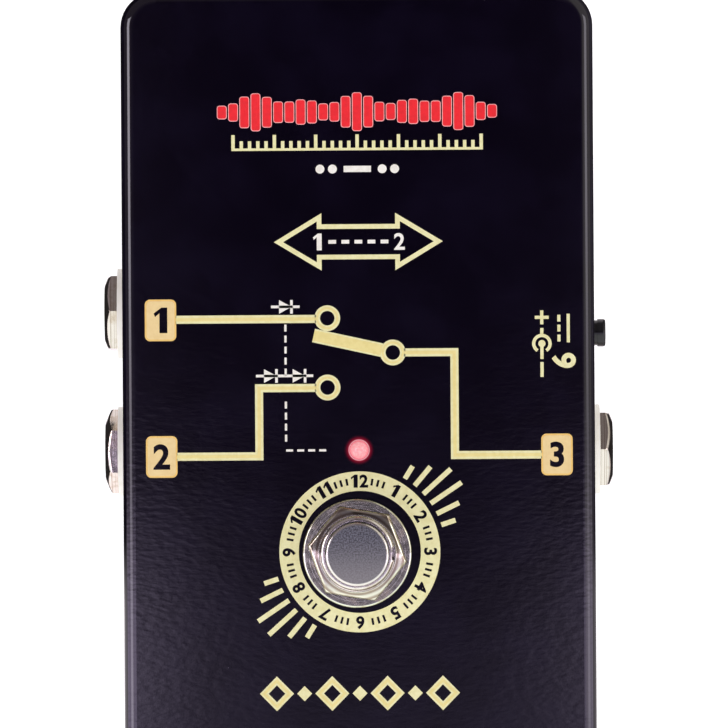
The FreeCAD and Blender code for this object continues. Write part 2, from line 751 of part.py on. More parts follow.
def make_rocker():
    blades = []
    for pole in (-1, 0, 1):
        centre = "%d * lug_pitch" % pole
        blades.append(box("blade_%d" % (pole + 2), centre + " - blade_width / 2",
                          centre + " + blade_width / 2", "-blade_length / 2", "blade_length / 2",
                          "-blade_thickness / 2", "blade_thickness / 2"))
    keep(at_pivot(group("contact_blades", blades)), "contact_blades")
    end = "(housing_side / 2 - housing_wall - rocker_end_gap)"
    under = "blade_thickness / 2"
    block = box("rocker_block", "-" + end, end, "-rocker_width / 2", "rocker_width / 2",
                under, under + " + rocker_height")
    parts = [block]
    length = "rocker_end_gap + housing_wall - slide_clearance"
    inner = "(%s - cheek_thickness)" % end
    for name, low, high, start in (("west", "-" + end, "-" + inner, "-%s - (%s)" % (end, length)),
                                   ("east", inner, end, end)):
        parts.append(box("cheek_" + name, low, high, "-rocker_width / 3", "rocker_width / 3",
                         "-trunnion_diameter / 2 - slide_clearance", under))
        parts.append(rod_along("trunnion_" + name, "x", "trunnion_diameter", start, length, ("0", "0")))
    keep(at_pivot(fused("contact_rocker", parts)), "contact_rocker")


def make_button():
    body = at_switch(doc.addObject("PartDesign::Body", "switch_button"), "button_bottom_z")
    profile = sketch(body, "profile", "XZ_Plane")
    edge = "button_diameter / 2"
    bore = "button_bore / 2"
    stem = "stem_diameter / 2"
    top = "button_top_z - button_bottom_z"
    foot = "stem_bottom_z - button_bottom_z"
    polygon(profile, [("0", foot), (stem, foot), (stem, "button_bore_depth"), (bore, "button_bore_depth"),
                      (bore, "0"), (edge, "0"), (edge, top), ("0", top)])
    turned = revolve(body, "turned", profile)
    soften(body, "cap_edge", turned, "button_rounding", lies_at(value(top)))
    keep(body, "switch_button")
    clip = ring("button_clip", "stem_clip_diameter", "stem_diameter + 2 * fit_clearance",
                "clip_top_z - stem_clip_thickness", "clip_top_z")
    keep(at_switch(clip), "button_clip")


def coil_path(radius, height, turns):
    """A helix from +X at height 0, as pairs of tangent arcs, one pair for each quarter turn."""
    steps = round(4 * turns)
    slope = height / (2 * math.pi * turns * radius)
    places = []
    headings = []
    for step in range(steps + 1):
        angle = 2 * math.pi * turns * step / steps
        places.append(Vector(radius * math.cos(angle), radius * math.sin(angle), height * step / steps))
        headings.append(Vector(-math.sin(angle), math.cos(angle), slope).normalize())
    edges = []
    for start, end, leave, reach in zip(places, places[1:], headings, headings[1:]):
        chord = end - start
        bend = 1 - leave.dot(reach)
        along = chord.dot(leave + reach)
        arm = (math.sqrt(along ** 2 + 2 * bend * chord.dot(chord)) - along) / (2 * bend)
        join = (start + end + (leave - reach) * arm) / 2
        edges.append(corner_arc(start, start + leave * arm, join))
        edges.append(corner_arc(join, end - reach * arm, end))
    return Part.Wire(edges)


def corner_arc(start, corner, end):
    """The arc that is tangent to both legs of a corner at its two ends."""
    middle = (start + end) / 2
    half = (end - start).Length / 2
    rise = corner - middle
    sagitta = half * math.tan(math.atan(rise.Length / half) / 2)
    return Part.Arc(start, middle + rise.normalize() * sagitta, end).toShape()


def make_button_spring():
    """A compression spring about the stem, from the housing's roof to the button's bore end."""
    seat = "housing_top_z + spring_wire / 2 + fit_clearance"
    height = "button_bottom_z + button_bore_depth - housing_top_z - spring_wire - 2 * fit_clearance"
    radius = value("(spring_diameter - spring_wire) / 2")
    coil = doc.addObject("Part::Feature", "button_spring")
    coil.Shape = swept_rod(coil_path(radius, value(height), value("spring_turns")), value("spring_wire"))
    keep(at_switch(coil, seat), "button_spring")


# The three jacks. Each is made about its own axis: +Z out of its mouth, +X up, the wall's face at 0.

left_turn = Rotation(Vector(0, 1, 0), -90)
right_turn = Rotation(Vector(0, 0, 1), 180) * left_turn

jack_spots = {
    "a": ("-case_width / 2", "jack_a_north", left_turn),
    "b": ("-case_width / 2", "-jack_b_south", left_turn),
    "c": ("case_width / 2", "-jack_c_south", right_turn),
}

plate_back = "(case_wall + jack_plate_thickness)"
arm_face = "(jack_arm_offset + jack_plate_thickness)"
lug_face = "(jack_arm_offset + jack_plate_thickness + wafer_thickness)"
stack_top = "(jack_arm_offset + jack_plate_thickness + 2 * wafer_thickness + tip_thickness)"
stack_end = "(case_wall + jack_arm_length)"
stack_start = "(case_wall + jack_plate_thickness + wafer_setback)"
rivet_z = "-(%s + %s) / 2" % (stack_end, stack_start)
jack_face = "(jack_washer_thickness + jack_nut_thickness)"


def at_jack(piece, letter):
    x, y, turn = jack_spots[letter]
    return put(piece, x, y, "jack_z", turn)


def make_jack_frame(letter):
    body = at_jack(doc.addObject("PartDesign::Body", "jack_%s_frame" % letter), letter)
    half = "jack_plate_height / 2"
    plate = sketch(body, "plate", "XY_Plane", "-case_wall")
    rectangle(plate, "-" + half, half, "-jack_plate_height / 2", arm_face)
    pad(body, "front_plate", plate, "jack_plate_thickness", backwards=True)
    arm = sketch(body, "arm", "XY_Plane", "-" + plate_back)
    rectangle(arm, "-jack_arm_width / 2", "jack_arm_width / 2", "jack_arm_offset", arm_face)
    pad(body, "side_arm", arm, "jack_arm_length - jack_plate_thickness", backwards=True)
    tail = sketch(body, "tail", "XY_Plane", "-" + plate_back)
    rectangle(tail, "-%s - tail_length / 2" % half, "0", "-" + half, "-%s + jack_plate_thickness" % half)
    pad(body, "ground_tail", tail, "tail_width", backwards=True)
    tube = sketch(body, "tube", "XY_Plane", "-case_wall")
    circle(tube, "0", "0", "jack_thread")
    pad(body, "bushing", tube, "case_wall + %s - jack_thread_recess" % jack_face)
    bore = sketch(body, "bore", "XY_Plane", "%s - jack_thread_recess" % jack_face)
    circle(bore, "0", "0", "jack_bore")
    pocket(body, "plug_bore", bore, "%s + %s - jack_thread_recess" % (plate_back, jack_face))
    rivet = sketch(body, "rivet", "XZ_Plane", "-" + stack_top)
    circle(rivet, "0", rivet_z, "rivet_diameter + 2 * fit_clearance")
    pocket(body, "rivet_hole", rivet, "%s - jack_arm_offset + fit_clearance" % stack_top, backwards=True)
    keep(body, "jack_%s_frame" % letter)


def make_jack_stack(letter):
    """Insulating wafers, the tip lug between them and the rivet through the stack."""
    half = "jack_arm_width / 2"
    name = "jack_%s_" % letter

    def bored(label, piece, diameter, low_y, length):
        drill = rod_along(label + "_drill", "y", diameter, low_y, length, ("0", rivet_z))
        return boolean("Cut", label, piece, drill)

    wafers = []
    for index, low_y in enumerate((arm_face, "(%s + tip_thickness)" % lug_face)):
        high_y = low_y + " + wafer_thickness"
        slab = box(name + "wafer_slab_%d" % index, "-" + half, half, low_y, high_y,
                   "-" + stack_end, "-" + stack_start)
        wafers.append(bored(name + "wafer_%d" % index, slab, "rivet_diameter + 2 * fit_clearance",
                            low_y, "wafer_thickness"))
    keep(at_jack(group(name + "wafers", wafers), letter), name + "wafers")
    strip = box(name + "tip_strip", "-tip_width / 2", "tip_width / 2",
                lug_face, lug_face + " + tip_thickness", "-" + stack_end, "-" + stack_start)
    tail = box(name + "tip_tail", "-tip_width / 2 - tail_length - tail_width / 2", "-tip_width / 2",
               lug_face, lug_face + " + tip_thickness", rivet_z + " - tail_width / 2",
               rivet_z + " + tail_width / 2")
    lug = bored(name + "tip_lug", fused(name + "tip_blank", [strip, tail]),
                "rivet_diameter + rivet_insulation", lug_face, "tip_thickness")
    keep(at_jack(lug, letter), name + "tip_lug")
    parts = [rod_along(name + "rivet_shank", "y", "rivet_diameter", "jack_arm_offset - rivet_head_height",
                       "%s - jack_arm_offset + 2 * rivet_head_height" % stack_top, ("0", rivet_z))]
    for index, low_y in enumerate(("jack_arm_offset - rivet_head_height", stack_top)):
        parts.append(rod_along(name + "rivet_head_%d" % index, "y", "rivet_head_diameter", low_y,
                               "rivet_head_height", ("0", rivet_z)))
    keep(at_jack(fused(name + "rivet", parts), letter), name + "rivet")


def make_jack_tip(letter):
    """The springy strip that touches a plug's tip; it bends where it leaves the wafers."""
    body = at_jack(doc.addObject("PartDesign::Body", "jack_%s_tip_spring" % letter), letter)
    profile = sketch(body, "profile", "YZ_Plane")
    root = "-%s - tip_root_gap" % stack_end
    bend = root + " - tip_straight"
    apex = "%s - tip_reach" % jack_face
    slope = "sqrt(2) * tip_thickness"
    shift = "(sqrt(2) - 1) * tip_thickness"
    polygon(profile, [(lug_face, root), (lug_face, bend), ("tip_height", apex),
                      ("tip_height + tip_flare", apex + " - tip_flare"),
                      ("tip_height + tip_flare + " + slope, apex + " - tip_flare"),
                      ("tip_height + " + slope, apex),
                      (lug_face + " + tip_thickness", "%s - %s" % (bend, shift)),
                      (lug_face + " + tip_thickness", root)])
    pad(body, "strip", profile, "tip_width", both_ways=True)
    keep(body, "jack_%s_tip_spring" % letter)


def make_jacks():
    for letter in jack_spots:
        make_jack_frame(letter)
        make_jack_stack(letter)
        make_jack_tip(letter)
    washers = []
    nuts = []
    for letter in jack_spots:
        washer = ring("jack_%s_washer" % letter, "jack_washer_diameter",
                      "jack_thread + 2 * hole_clearance", "0", "jack_washer_thickness")
        washers.append(at_jack(washer, letter))
        nut = hex_nut("jack_%s_nut" % letter, "jack_nut_flats", "jack_thread + 2 * fit_clearance",
                      "jack_washer_thickness", jack_face, "jack_nut_flat_diameter", "jack_nut_drop",
                      "jack_nut_rounding", "jack_%s_nut_turn" % letter)
        nuts.append(at_jack(nut, letter))
    keep(group("jack_washers", washers), "jack_washers")
    keep(group("jack_nuts", nuts), "jack_nuts")


# The DC inlet, about its own axis as the jacks are

def at_inlet(piece):
    return put(piece, "case_width / 2", "inlet_north", "inlet_z", right_turn)


inlet_face = "(case_wall + inlet_setback)"
bore_end = "(inlet_bore_depth - inlet_proud)"


def make_inlet():
    body = at_inlet(doc.addObject("PartDesign::Body", "inlet_housing"))
    block = sketch(body, "block", "XY_Plane", "-" + inlet_face)
    rectangle(block, "-inlet_height / 2", "inlet_height / 2", "-inlet_width / 2", "inlet_width / 2")
    pad(body, "block", block, "inlet_length", backwards=True)
    neck = sketch(body, "neck", "XY_Plane", "-" + inlet_face)
    circle(neck, "0", "0", "inlet_neck_diameter")
    pad(body, "neck", neck, inlet_face + " + inlet_proud")
    lip = sketch(body, "lip", "XY_Plane", "inlet_proud - inlet_lip")
    circle(lip, "0", "0", "inlet_nose_diameter")
    nose = pad(body, "lip", lip, "inlet_lip")
    mouth = lies_at(value("inlet_proud"))
    soften(body, "lip_edge", nose, "inlet_rounding", mouth)
    bore = sketch(body, "bore", "XY_Plane", "inlet_proud")
    circle(bore, "0", "0", "inlet_bore")
    pocket(body, "plug_bore", bore, "inlet_bore_depth")
    slot = sketch(body, "slot", "XY_Plane", "-" + inlet_face)
    rectangle(slot, "-inlet_bore / 2 - sleeve_slot_depth", "0",
              "-sleeve_slot_width / 2", "sleeve_slot_width / 2")
    pocket(body, "sleeve_slot", slot, bore_end + " - " + inlet_face)
    pin = sketch(body, "pin", "XY_Plane", "-" + inlet_face)
    circle(pin, "0", "0", "inlet_pin_diameter + 2 * fit_clearance")
    pocket(body, "pin_hole", pin, "inlet_length")
    keep(body, "inlet_housing")
    rod = cylinder("inlet_rod", "inlet_pin_diameter", "-%s - inlet_length - lead_stub" % inlet_face,
                   "inlet_proud - inlet_pin_recess - inlet_pin_diameter / 2")
    tip = doc.addObject("Part::Sphere", "inlet_rod_tip")
    bind(tip, Radius="inlet_pin_diameter / 2")
    put(tip, z="inlet_proud - inlet_pin_recess - inlet_pin_diameter / 2")
    keep(at_inlet(fused("inlet_pin", [rod, tip])), "inlet_pin")
    strip = at_inlet(doc.addObject("PartDesign::Body", "inlet_sleeve_contact"))
    profile = sketch(strip, "profile", "XZ_Plane")
    outer = "-inlet_bore / 2 - 2 * sleeve_thickness"
    apex = "-inlet_bore / 2 + 2 * slide_clearance"
    root = "-%s + fit_clearance" % bore_end
    middle = root + " + sleeve_length / 2"
    end = root + " + sleeve_length"
    polygon(profile, [(outer + " - sleeve_thickness / 2", root), (outer + " + sleeve_thickness / 2", root),
                      (apex, middle), (outer + " + sleeve_thickness / 2", end),
                      (outer + " - sleeve_thickness / 2", end), (apex + " - sleeve_thickness", middle)])
    pad(strip, "strip", profile, "sleeve_width", both_ways=True)
    keep(strip, "inlet_sleeve_contact")


# The circuit board and what it carries

board_screw_spots = [
    ("-board_west + standoff_inset", "-board_south + standoff_inset"),
    ("-board_west + standoff_inset", "board_north - standoff_inset"),
    ("board_east - standoff_inset", "-board_south + standoff_inset"),
]
lamp_leads = [("-lead_pitch", "-lamp_south"), ("0", "-lamp_south"), ("lead_pitch", "-lamp_south")]
part_columns = ["resistor_east", "resistor_east + resistor_pitch", "resistor_east + 2 * resistor_pitch"]
part_leads = [(x, "resistor_north %s resistor_span / 2" % sign) for x in part_columns for sign in "-+"]


def make_board():
    slab = box("board_slab", "-board_west", "board_east", "-board_south", "board_north",
               "board_bottom_z", "board_top_z")
    drills = [cylinder("board_drill_%d" % number, "board_screw_diameter + 2 * fit_clearance",
                       "board_bottom_z", "board_top_z", x, y)
              for number, (x, y) in enumerate(board_screw_spots)]
    drills += [cylinder("lead_drill_%d" % number, "lead_diameter + 2 * fit_clearance",
                        "board_bottom_z", "board_top_z", x, y)
               for number, (x, y) in enumerate(lamp_leads + part_leads)]
    keep(boolean("Cut", "circuit_board", slab, group("board_drills", drills)), "circuit_board")
    screws = []
    for number, (x, y) in enumerate(board_screw_spots):
        head = cylinder("board_head_%d" % number, "board_screw_head_diameter",
                        "board_bottom_z - board_screw_head_height", "board_bottom_z", x, y)
        shank = cylinder("board_shank_%d" % number, "board_screw_diameter - 2 * fit_clearance",
                         "board_bottom_z", "board_bottom_z + board_screw_length", x, y)
        reach = "board_screw_head_diameter / 4"
        half = "screw_slot_width / 2"
        slots = [box("board_slot_%d_%d" % (number, turn), x + " - " + wide_x, x + " + " + wide_x,
                     y + " - " + wide_y, y + " + " + wide_y, "board_bottom_z - board_screw_head_height",
                     "board_bottom_z - board_screw_head_height + screw_slot_depth")
                 for turn, (wide_x, wide_y) in enumerate(((reach, half), (half, reach)))]
        blank = fused("board_screw_blank_%d" % number, [head, shank])
        screws.append(boolean("Cut", "board_screw_%d" % number, blank,
                              fused("board_cross_%d" % number, slots)))
    keep(group("board_screws", screws), "board_screws")


def make_lamp():
    flange_z = "inner_top_z - lamp_flange_thickness"
    flange = cylinder("lamp_flange", "lamp_diameter + 2 * lamp_flange_width", flange_z, "inner_top_z",
                      "0", "-lamp_south")
    dome_z = flange_z + " + lamp_length - lamp_diameter / 2"
    barrel = cylinder("lamp_barrel", "lamp_diameter", flange_z, dome_z, "0", "-lamp_south")
    dome = doc.addObject("Part::Sphere", "lamp_dome")
    bind(dome, Radius="lamp_diameter / 2")
    put(dome, "0", "-lamp_south", dome_z)
    keep(fused("lamp", [flange, barrel, dome]), "status_lamp")
    leads = []
    for number, (x, y) in enumerate(lamp_leads):
        leads.append(cylinder("lamp_lead_%d" % number, "lead_diameter", "board_bottom_z - lead_stub",
                              flange_z, x, y))
    keep(group("lamp_leads", leads), "lamp_leads")


def make_board_parts():
    """Two resistors and a diode that lie in a row, with their bent leads."""
    shapes = [("resistor_diameter", "resistor_length")] * 2 + [("diode_diameter", "diode_length")]
    resistors = []
    leads = []
    for number, (x, (width, length)) in enumerate(zip(part_columns, shapes)):
        middle_z = "board_top_z + (%s) / 2 + fit_clearance" % width
        start = "resistor_north - %s / 2" % length
        pieces = [rod_along("part_core_%d" % number, "y", "0.85 * " + width, start, length, (x, middle_z))]
        for end, place in enumerate((start, start + " + 0.75 * " + length)):
            pieces.append(rod_along("part_cap_%d_%d" % (number, end), "y", width, place,
                                    "0.25 * " + length, (x, middle_z)))
        body = fused("board_part_%d" % number, pieces if number < 2 else pieces[1:] + pieces[:1])
        resistors.append(body)
        for end, (sign, edge) in enumerate((("-", start), ("+", "resistor_north + %s / 2" % length))):
            spot = "resistor_north %s resistor_span / 2" % sign
            low, high = (spot, edge) if sign == "-" else (edge, spot)
            name = "part_lead_%d_%d" % (number, end)
            level = rod_along(name + "_level", "y", "lead_diameter", low, "(%s) - (%s)" % (high, low),
                              (x, middle_z))
            upright = cylinder(name + "_upright", "lead_diameter", "board_bottom_z - lead_stub",
                               middle_z, x, spot)
            corner = doc.addObject("Part::Sphere", name + "_corner")
            bind(corner, Radius="lead_diameter / 2")
            put(corner, x, spot, middle_z)
            leads.append(fused(name, [level, upright, corner]))
    keep(group("resistors", resistors[:2]), "resistors")
    keep(resistors[2], "diode")
    keep(group("part_leads", leads), "part_leads")


# Wires, each one tube along straight runs and tangent arcs

def bent_path(corners, bend):
    """Join the corners by straight runs, with a tangent arc of the bend radius or less at each turn."""
    edges = []
    start = corners[0]
    last = len(corners) - 2
    for index in range(1, len(corners) - 1):
        before, corner, after = corners[index - 1:index + 2]
        back, ahead = before - corner, after - corner
        share_back = 0.9 if index == 1 else 0.45
        share_ahead = 0.9 if index == last else 0.45
        room = min(share_back * back.Length, share_ahead * ahead.Length)
        half_turn = (math.pi - back.getAngle(ahead)) / 2
        reach = min(room, bend * math.tan(half_turn))
        radius = reach / math.tan(half_turn)
        back.normalize()
        ahead.normalize()
        middle = (back + ahead).normalize()
        entry = corner + back * reach
        leave = corner + ahead * reach
        top = corner + middle * (radius / math.cos(half_turn) - radius)
        edges.append(Part.LineSegment(start, entry).toShape())
        edges.append(Part.Arc(entry, top, leave).toShape())
        start = leave
    edges.append(Part.LineSegment(start, corners[-1]).toShape())
    return Part.Wire(edges)


def wire_tube(corners):
    return swept_rod(bent_path(corners, value("wire_bend")), value("wire_diameter"))


def spot(x, y, z):
    return Vector(value(x), value(y), value(z))


def jack_point(letter, up, along, out):
    """A point of a jack's own frame, in the part's frame."""
    x, y, turn = jack_spots[letter]
    return spot(x, y, "jack_z") + turn.multVec(spot(up, along, out))


def tail_end(letter, tail, side="0"):
    """The lower end of a jack's tip tail, or of its ground tail, moved out of the case by side."""
    if tail == "tip":
        return jack_point(letter, "-tip_width / 2 - tail_length - tail_width / 2",
                          lug_face + " + tip_thickness / 2", rivet_z)
    return jack_point(letter, "-jack_plate_height / 2 - tail_length / 2",
                      "-jack_plate_height / 2 + jack_plate_thickness / 2",
                      "-%s - tail_width / 2 + %s" % (plate_back, side))


def lug_end(pole, row):
    """The lower end of a switch lug."""
    return spot("switch_shift + %d * lug_pitch" % pole, "-switch_south + %d * lug_pitch" % row,
                "base_bottom_z - lug_length")


def beside(start, end, share, aside):
    """A point part of the way from start to end, moved to the left of that line."""
    ahead = Vector(end.x - start.x, end.y - start.y, 0)
    left = Vector(-ahead.y, ahead.x, 0).normalize()
    return start + ahead * share + left * value(aside)


def route(start, run_z, bends, end):
    """A wire's corners: down from its start, level through the bends, up to its end."""
    level = value(run_z)
    return [start] + [Vector(place.x, place.y, level) for place in [start] + bends + [end]] + [end]


def bowed(start, run_z, bows, end):
    """A route whose bends are shares of the way with an offset to the left."""
    return route(start, run_z, [beside(start, end, share, aside) for share, aside in bows], end)


def wire_node(label, routes):
    feature = doc.addObject("Part::Feature", label)
    feature.Shape = Part.makeCompound([wire_tube(corners) for corners in routes])
    feature.Placement = FreeCAD.Placement()
    keep(feature, label)


def make_wires():
    wire_node("signal_wires", [
        bowed(tail_end("a", "tip"), "low_run_z", [(0.3, "wire_bow"), (0.65, "0")], lug_end(-1, 1)),
        bowed(tail_end("b", "tip"), "low_run_z", [(0.45, "-1.5 * wire_bow"), (0.8, "-2 * wire_bow")],
              lug_end(-1, -1)),
        bowed(tail_end("c", "tip"), "low_run_z", [(0.25, "wire_bow"), (0.65, "0")], lug_end(-1, 0)),
    ])
    south = "-switch_south - 1.15 * housing_side"
    around = [
        ("-0.8 * inner_x", "-switch_south - housing_side / 2"),
        ("-0.4 * inner_x", south),
        ("0.35 * inner_x", south),
        ("0.8 * inner_x", "-switch_south - 0.7 * housing_side"),
        ("inner_x - wire_wall_gap", "-switch_south + housing_side / 2"),
    ]
    beside_other = "(wire_diameter / 2 + fit_clearance)"
    wire_node("ground_wires", [
        bowed(tail_end("a", "ground"), "low_run_z", [(0.45, "-wire_gap")],
              tail_end("b", "ground", beside_other)),
        route(tail_end("b", "ground", "-" + beside_other), "low_run_z",
              [spot(x, y, "0") for x, y in around], tail_end("c", "ground")),
    ])
    lamp_routes = []
    for row, side, bend_row in ((1, 0, None), (0, 1, 1), (-1, -1, 0)):
        end = lug_end(1, row)
        aside = Vector(side * value("wire_bow"), 0, 0)
        start = aside + Vector(end.x, value("-board_south + wire_diameter"), value("board_bottom_z"))
        bends = [] if bend_row is None else [aside + lug_end(1, bend_row)]
        lamp_routes.append(route(start, "high_run_z", bends, end))
    wire_node("lamp_wires", lamp_routes)


make_case()
make_cover()
make_cover_screws()
make_feet()
make_switch_frame()
make_switch_rings()
make_switch_housing()
make_switch_base()
make_rocker()
make_button()
make_button_spring()
make_jacks()
make_inlet()
make_board()
make_lamp()
make_board_parts()
make_wires()

doc.recompute()
for thing in doc.Objects:
    if "Invalid" in thing.State or "Error" in thing.State:
        raise RuntimeError("%s could not be computed" % thing.Label)
for piece in nodes:
    if piece.Shape.isNull() or not piece.Shape.isValid():
        raise RuntimeError("%s has no valid shape" % piece.Label)

os.makedirs("parts", exist_ok=True)
for piece in nodes:
    piece.Shape.exportStep("parts/%s.step" % piece.Label)
    print("%-22s %2d solids %9.2f mm3" % (piece.Label, len(piece.Shape.Solids), piece.Shape.Volume))
print(len(nodes), "nodes")
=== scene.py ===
import math

import bpy
import numpy as np
from mathutils import Matrix, Vector


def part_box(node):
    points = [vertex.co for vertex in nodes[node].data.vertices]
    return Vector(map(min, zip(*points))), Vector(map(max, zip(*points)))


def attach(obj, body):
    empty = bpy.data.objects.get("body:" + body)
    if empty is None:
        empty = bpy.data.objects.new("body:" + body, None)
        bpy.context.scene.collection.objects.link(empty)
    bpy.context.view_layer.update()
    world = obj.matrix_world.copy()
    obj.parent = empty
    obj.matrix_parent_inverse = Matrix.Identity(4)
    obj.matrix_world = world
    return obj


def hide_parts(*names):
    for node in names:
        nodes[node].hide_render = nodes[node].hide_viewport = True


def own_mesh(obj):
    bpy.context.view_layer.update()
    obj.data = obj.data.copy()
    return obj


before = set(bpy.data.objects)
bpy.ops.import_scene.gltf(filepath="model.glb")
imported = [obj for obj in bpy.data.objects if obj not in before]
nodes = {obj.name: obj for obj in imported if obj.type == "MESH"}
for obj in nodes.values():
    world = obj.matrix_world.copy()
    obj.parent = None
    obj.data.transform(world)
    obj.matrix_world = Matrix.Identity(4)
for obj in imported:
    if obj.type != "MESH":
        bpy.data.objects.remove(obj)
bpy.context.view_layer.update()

mm = 0.001


def boxInMm(node):
    low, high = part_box(node)
    return np.array(low) / mm, np.array(high) / mm


caseLow, caseHigh = boxInMm("enclosure_shell")
lampLow, lampHigh = boxInMm("status_lamp")
washerLow, washerHigh = boxInMm("switch_washer")
faceZ = caseHigh[2]
lampSpot = (lampLow + lampHigh) / 2
switchSpot = (washerLow + washerHigh) / 2
print("frame loaded:", len(nodes), "nodes, top face at", round(float(faceZ), 2), "mm")


# Shader maths and materials

class Signal:
    # a socket's value; sums on it add Math nodes

    def __init__(self, finish, socket):
        self.finish = finish
        self.socket = socket

    def math(self, operation, *values):
        return self.finish.node("ShaderNodeMath", {"operation": operation}, dict(enumerate(values)))

    def __add__(self, other):
        return self.math("ADD", self, other)

    def __radd__(self, other):
        return self.math("ADD", other, self)

    def __sub__(self, other):
        return self.math("SUBTRACT", self, other)

    def __rsub__(self, other):
        return self.math("SUBTRACT", other, self)

    def __mul__(self, other):
        return self.math("MULTIPLY", self, other)

    def __rmul__(self, other):
        return self.math("MULTIPLY", other, self)

    def __truediv__(self, other):
        return self.math("DIVIDE", self, other)

    def __pow__(self, other):
        return self.math("POWER", self, other)


def tint(code):
    # "#rrggbb" as it looks in the photo, in the linear light that the nodes work in: the usual screen
    # curve is straight near black, and a power of 2.4 above it
    shares = [int(code[start:start + 2], 16) / 255 for start in (1, 3, 5)]
    linear = [share / 12.92 if share <= 0.04045 else ((share + 0.055) / 1.055) ** 2.4
              for share in shares]
    return linear + [1]


class Finish:
    # one material's node tree; places are Object coordinates in millimetres

    def __init__(self, name, owner=None):
        self.owner = owner or bpy.data.materials.new(name)
        self.owner.use_nodes = True
        self.tree = self.owner.node_tree
        self.tree.nodes.clear()

    def node(self, kind, settings=None, sockets=None, output=0):
        made = self.tree.nodes.new(kind)
        for name, setting in (settings or {}).items():
            setattr(made, name, setting)
        for key, given in (sockets or {}).items():
            if isinstance(given, Signal):
                self.tree.links.new(given.socket, made.inputs[key])
            else:
                made.inputs[key].default_value = given
        return Signal(self, made.outputs[output]) if made.outputs else None

    def place(self):
        metres = self.node("ShaderNodeTexCoord", output="Object")
        return self.node("ShaderNodeVectorMath", {"operation": "SCALE"}, {0: metres, "Scale": 1 / mm})

    def split(self, vector):
        # a vector's x, y and z as numbers
        parts = self.node("ShaderNodeSeparateXYZ", sockets={0: vector}).socket.node
        return [Signal(self, socket) for socket in parts.outputs]

    def axes(self, centre=(0, 0, 0)):
        # the place's x, y and z, measured from a centre
        sockets = {0: self.place(), 1: centre}
        return self.split(self.node("ShaderNodeVectorMath", {"operation": "SUBTRACT"}, sockets))

    def scaled(self, size, stretch):
        scale = [share / size for share in stretch]
        return self.node("ShaderNodeMapping", sockets={"Vector": self.place(), "Scale": scale})

    def noise(self, size, detail=2, rough=0.5, stretch=(1, 1, 1)):
        # soft patches about size mm wide, from 0 to 1
        sockets = {"Vector": self.scaled(size, stretch), "Scale": 1, "Detail": detail, "Roughness": rough}
        return self.node("ShaderNodeTexNoise", sockets=sockets)

    def lines(self, across, size, detail=2):
        # soft stripes about size mm wide, from 0 to 1, where across is the place in mm across them
        sockets = {"W": across, "Scale": 1 / size, "Detail": detail}
        return self.node("ShaderNodeTexNoise", {"noise_dimensions": "1D"}, sockets)

    def cells(self, size):
        # the distance to the nearest of scattered points that lie about size mm apart
        sockets = {"Vector": self.scaled(size, (1, 1, 1)), "Scale": 1}
        return self.node("ShaderNodeTexVoronoi", sockets=sockets, output="Distance")

    def between(self, value, low, high, start=0, end=1):
        # start up to low, end from high on, and a smooth step between them
        sockets = {"Value": value, "From Min": low, "From Max": high, "To Min": start, "To Max": end}
        return self.node("ShaderNodeMapRange", {"interpolation_type": "SMOOTHSTEP"}, sockets)

    def mix(self, share, first, second):
        sockets = {0: share, 6: first, 7: second}
        return self.node("ShaderNodeMix", {"data_type": "RGBA"}, sockets, output=2)

    def bump(self, height, depth):
        # height runs from 0 to 1, and depth is in millimetres
        sockets = {"Height": height, "Distance": depth * mm, "Strength": 1.0}
        return self.node("ShaderNodeBump", sockets=sockets)

    def surface(self, sockets):
        shader = self.node("ShaderNodeBsdfPrincipled", sockets=sockets)
        self.node("ShaderNodeOutputMaterial", sockets={"Surface": shader})
        return self.owner


# Finishes of the painted case

def casePaint(name="casePaint"):
    # black gloss with soft clouds, a fine peel and specks of dust, with a painted red glow and a pink
    # painted rim of light round the lamp's hole
    look = {"base": "#07030f", "cloud": "#0c0717", "speck": "#6a6474", "roughness": 0.055,
            "cloudSize": 11, "dustPitch": 6.5, "speckPatch": 17, "speckSize": 0.035, "fine": 0.25,
            "peelWide": 1.6, "peelTall": 0.7, "peelDepth": 0.003, "rim": "#f0a0a8", "glow": "#8c0624",
            "hole": 1.6, "rimReach": 0.2, "glowReach": 1.0}
    paint = Finish(name)
    clouds = paint.noise(look["cloudSize"], detail=5, rough=0.6)
    peel = paint.noise(look["peelTall"], detail=1, stretch=(look["peelTall"] / look["peelWide"], 1, 1))
    fine = paint.noise(look["fine"], detail=2)
    dust = paint.cells(look["dustPitch"])
    speckSize = paint.noise(look["speckPatch"])
    specks = 1 - paint.between(dust, 0.0, speckSize * look["speckSize"])
    colour = paint.mix(paint.between(clouds, 0.35, 0.7), tint(look["base"]), tint(look["cloud"]))
    colour = paint.mix(specks * 0.6, colour, tint(look["speck"]))
    # painted glow: near the lamp's hole the paint itself gives off red light, and pink light at the hole's
    # rim
    x, y, z = paint.axes(tuple(lampSpot))
    reach = (x * x + y * y) ** 0.5
    glow = 1 - paint.between(reach, look["hole"], look["hole"] + look["glowReach"])
    rim = 1 - paint.between(reach, look["hole"], look["hole"] + look["rimReach"])
    top = paint.between(z, 0, 0.5)
    light = paint.mix(glow * glow * top, tint("#000000"), tint(look["glow"]))
    return paint.surface({
        "Base Color": colour,
        "Roughness": look["roughness"] + 0.02 * clouds + 0.12 * specks,
        "IOR": 1.5,
        "Normal": paint.bump(peel + 0.15 * fine, look["peelDepth"]),
        "Emission Color": paint.mix(rim * top, light, tint(look["rim"])),
        "Emission Strength": 1.0,
    })


def coverPaint():
    look = {"base": "#0c0b0d", "worn": "#1d1c1f", "grain": 0.35, "depth": 0.03}
    paint = Finish("coverPaint")
    grain = paint.noise(look["grain"], detail=3, rough=0.6)
    wear = paint.between(paint.noise(7, detail=6, rough=0.7), 0.55, 0.75)
    return paint.surface({
        "Base Color": paint.mix(wear * 0.6, tint(look["base"]), tint(look["worn"])),
        "Roughness": 0.52 + 0.12 * grain - 0.1 * wear,
        "Normal": paint.bump(grain, look["depth"]),
    })


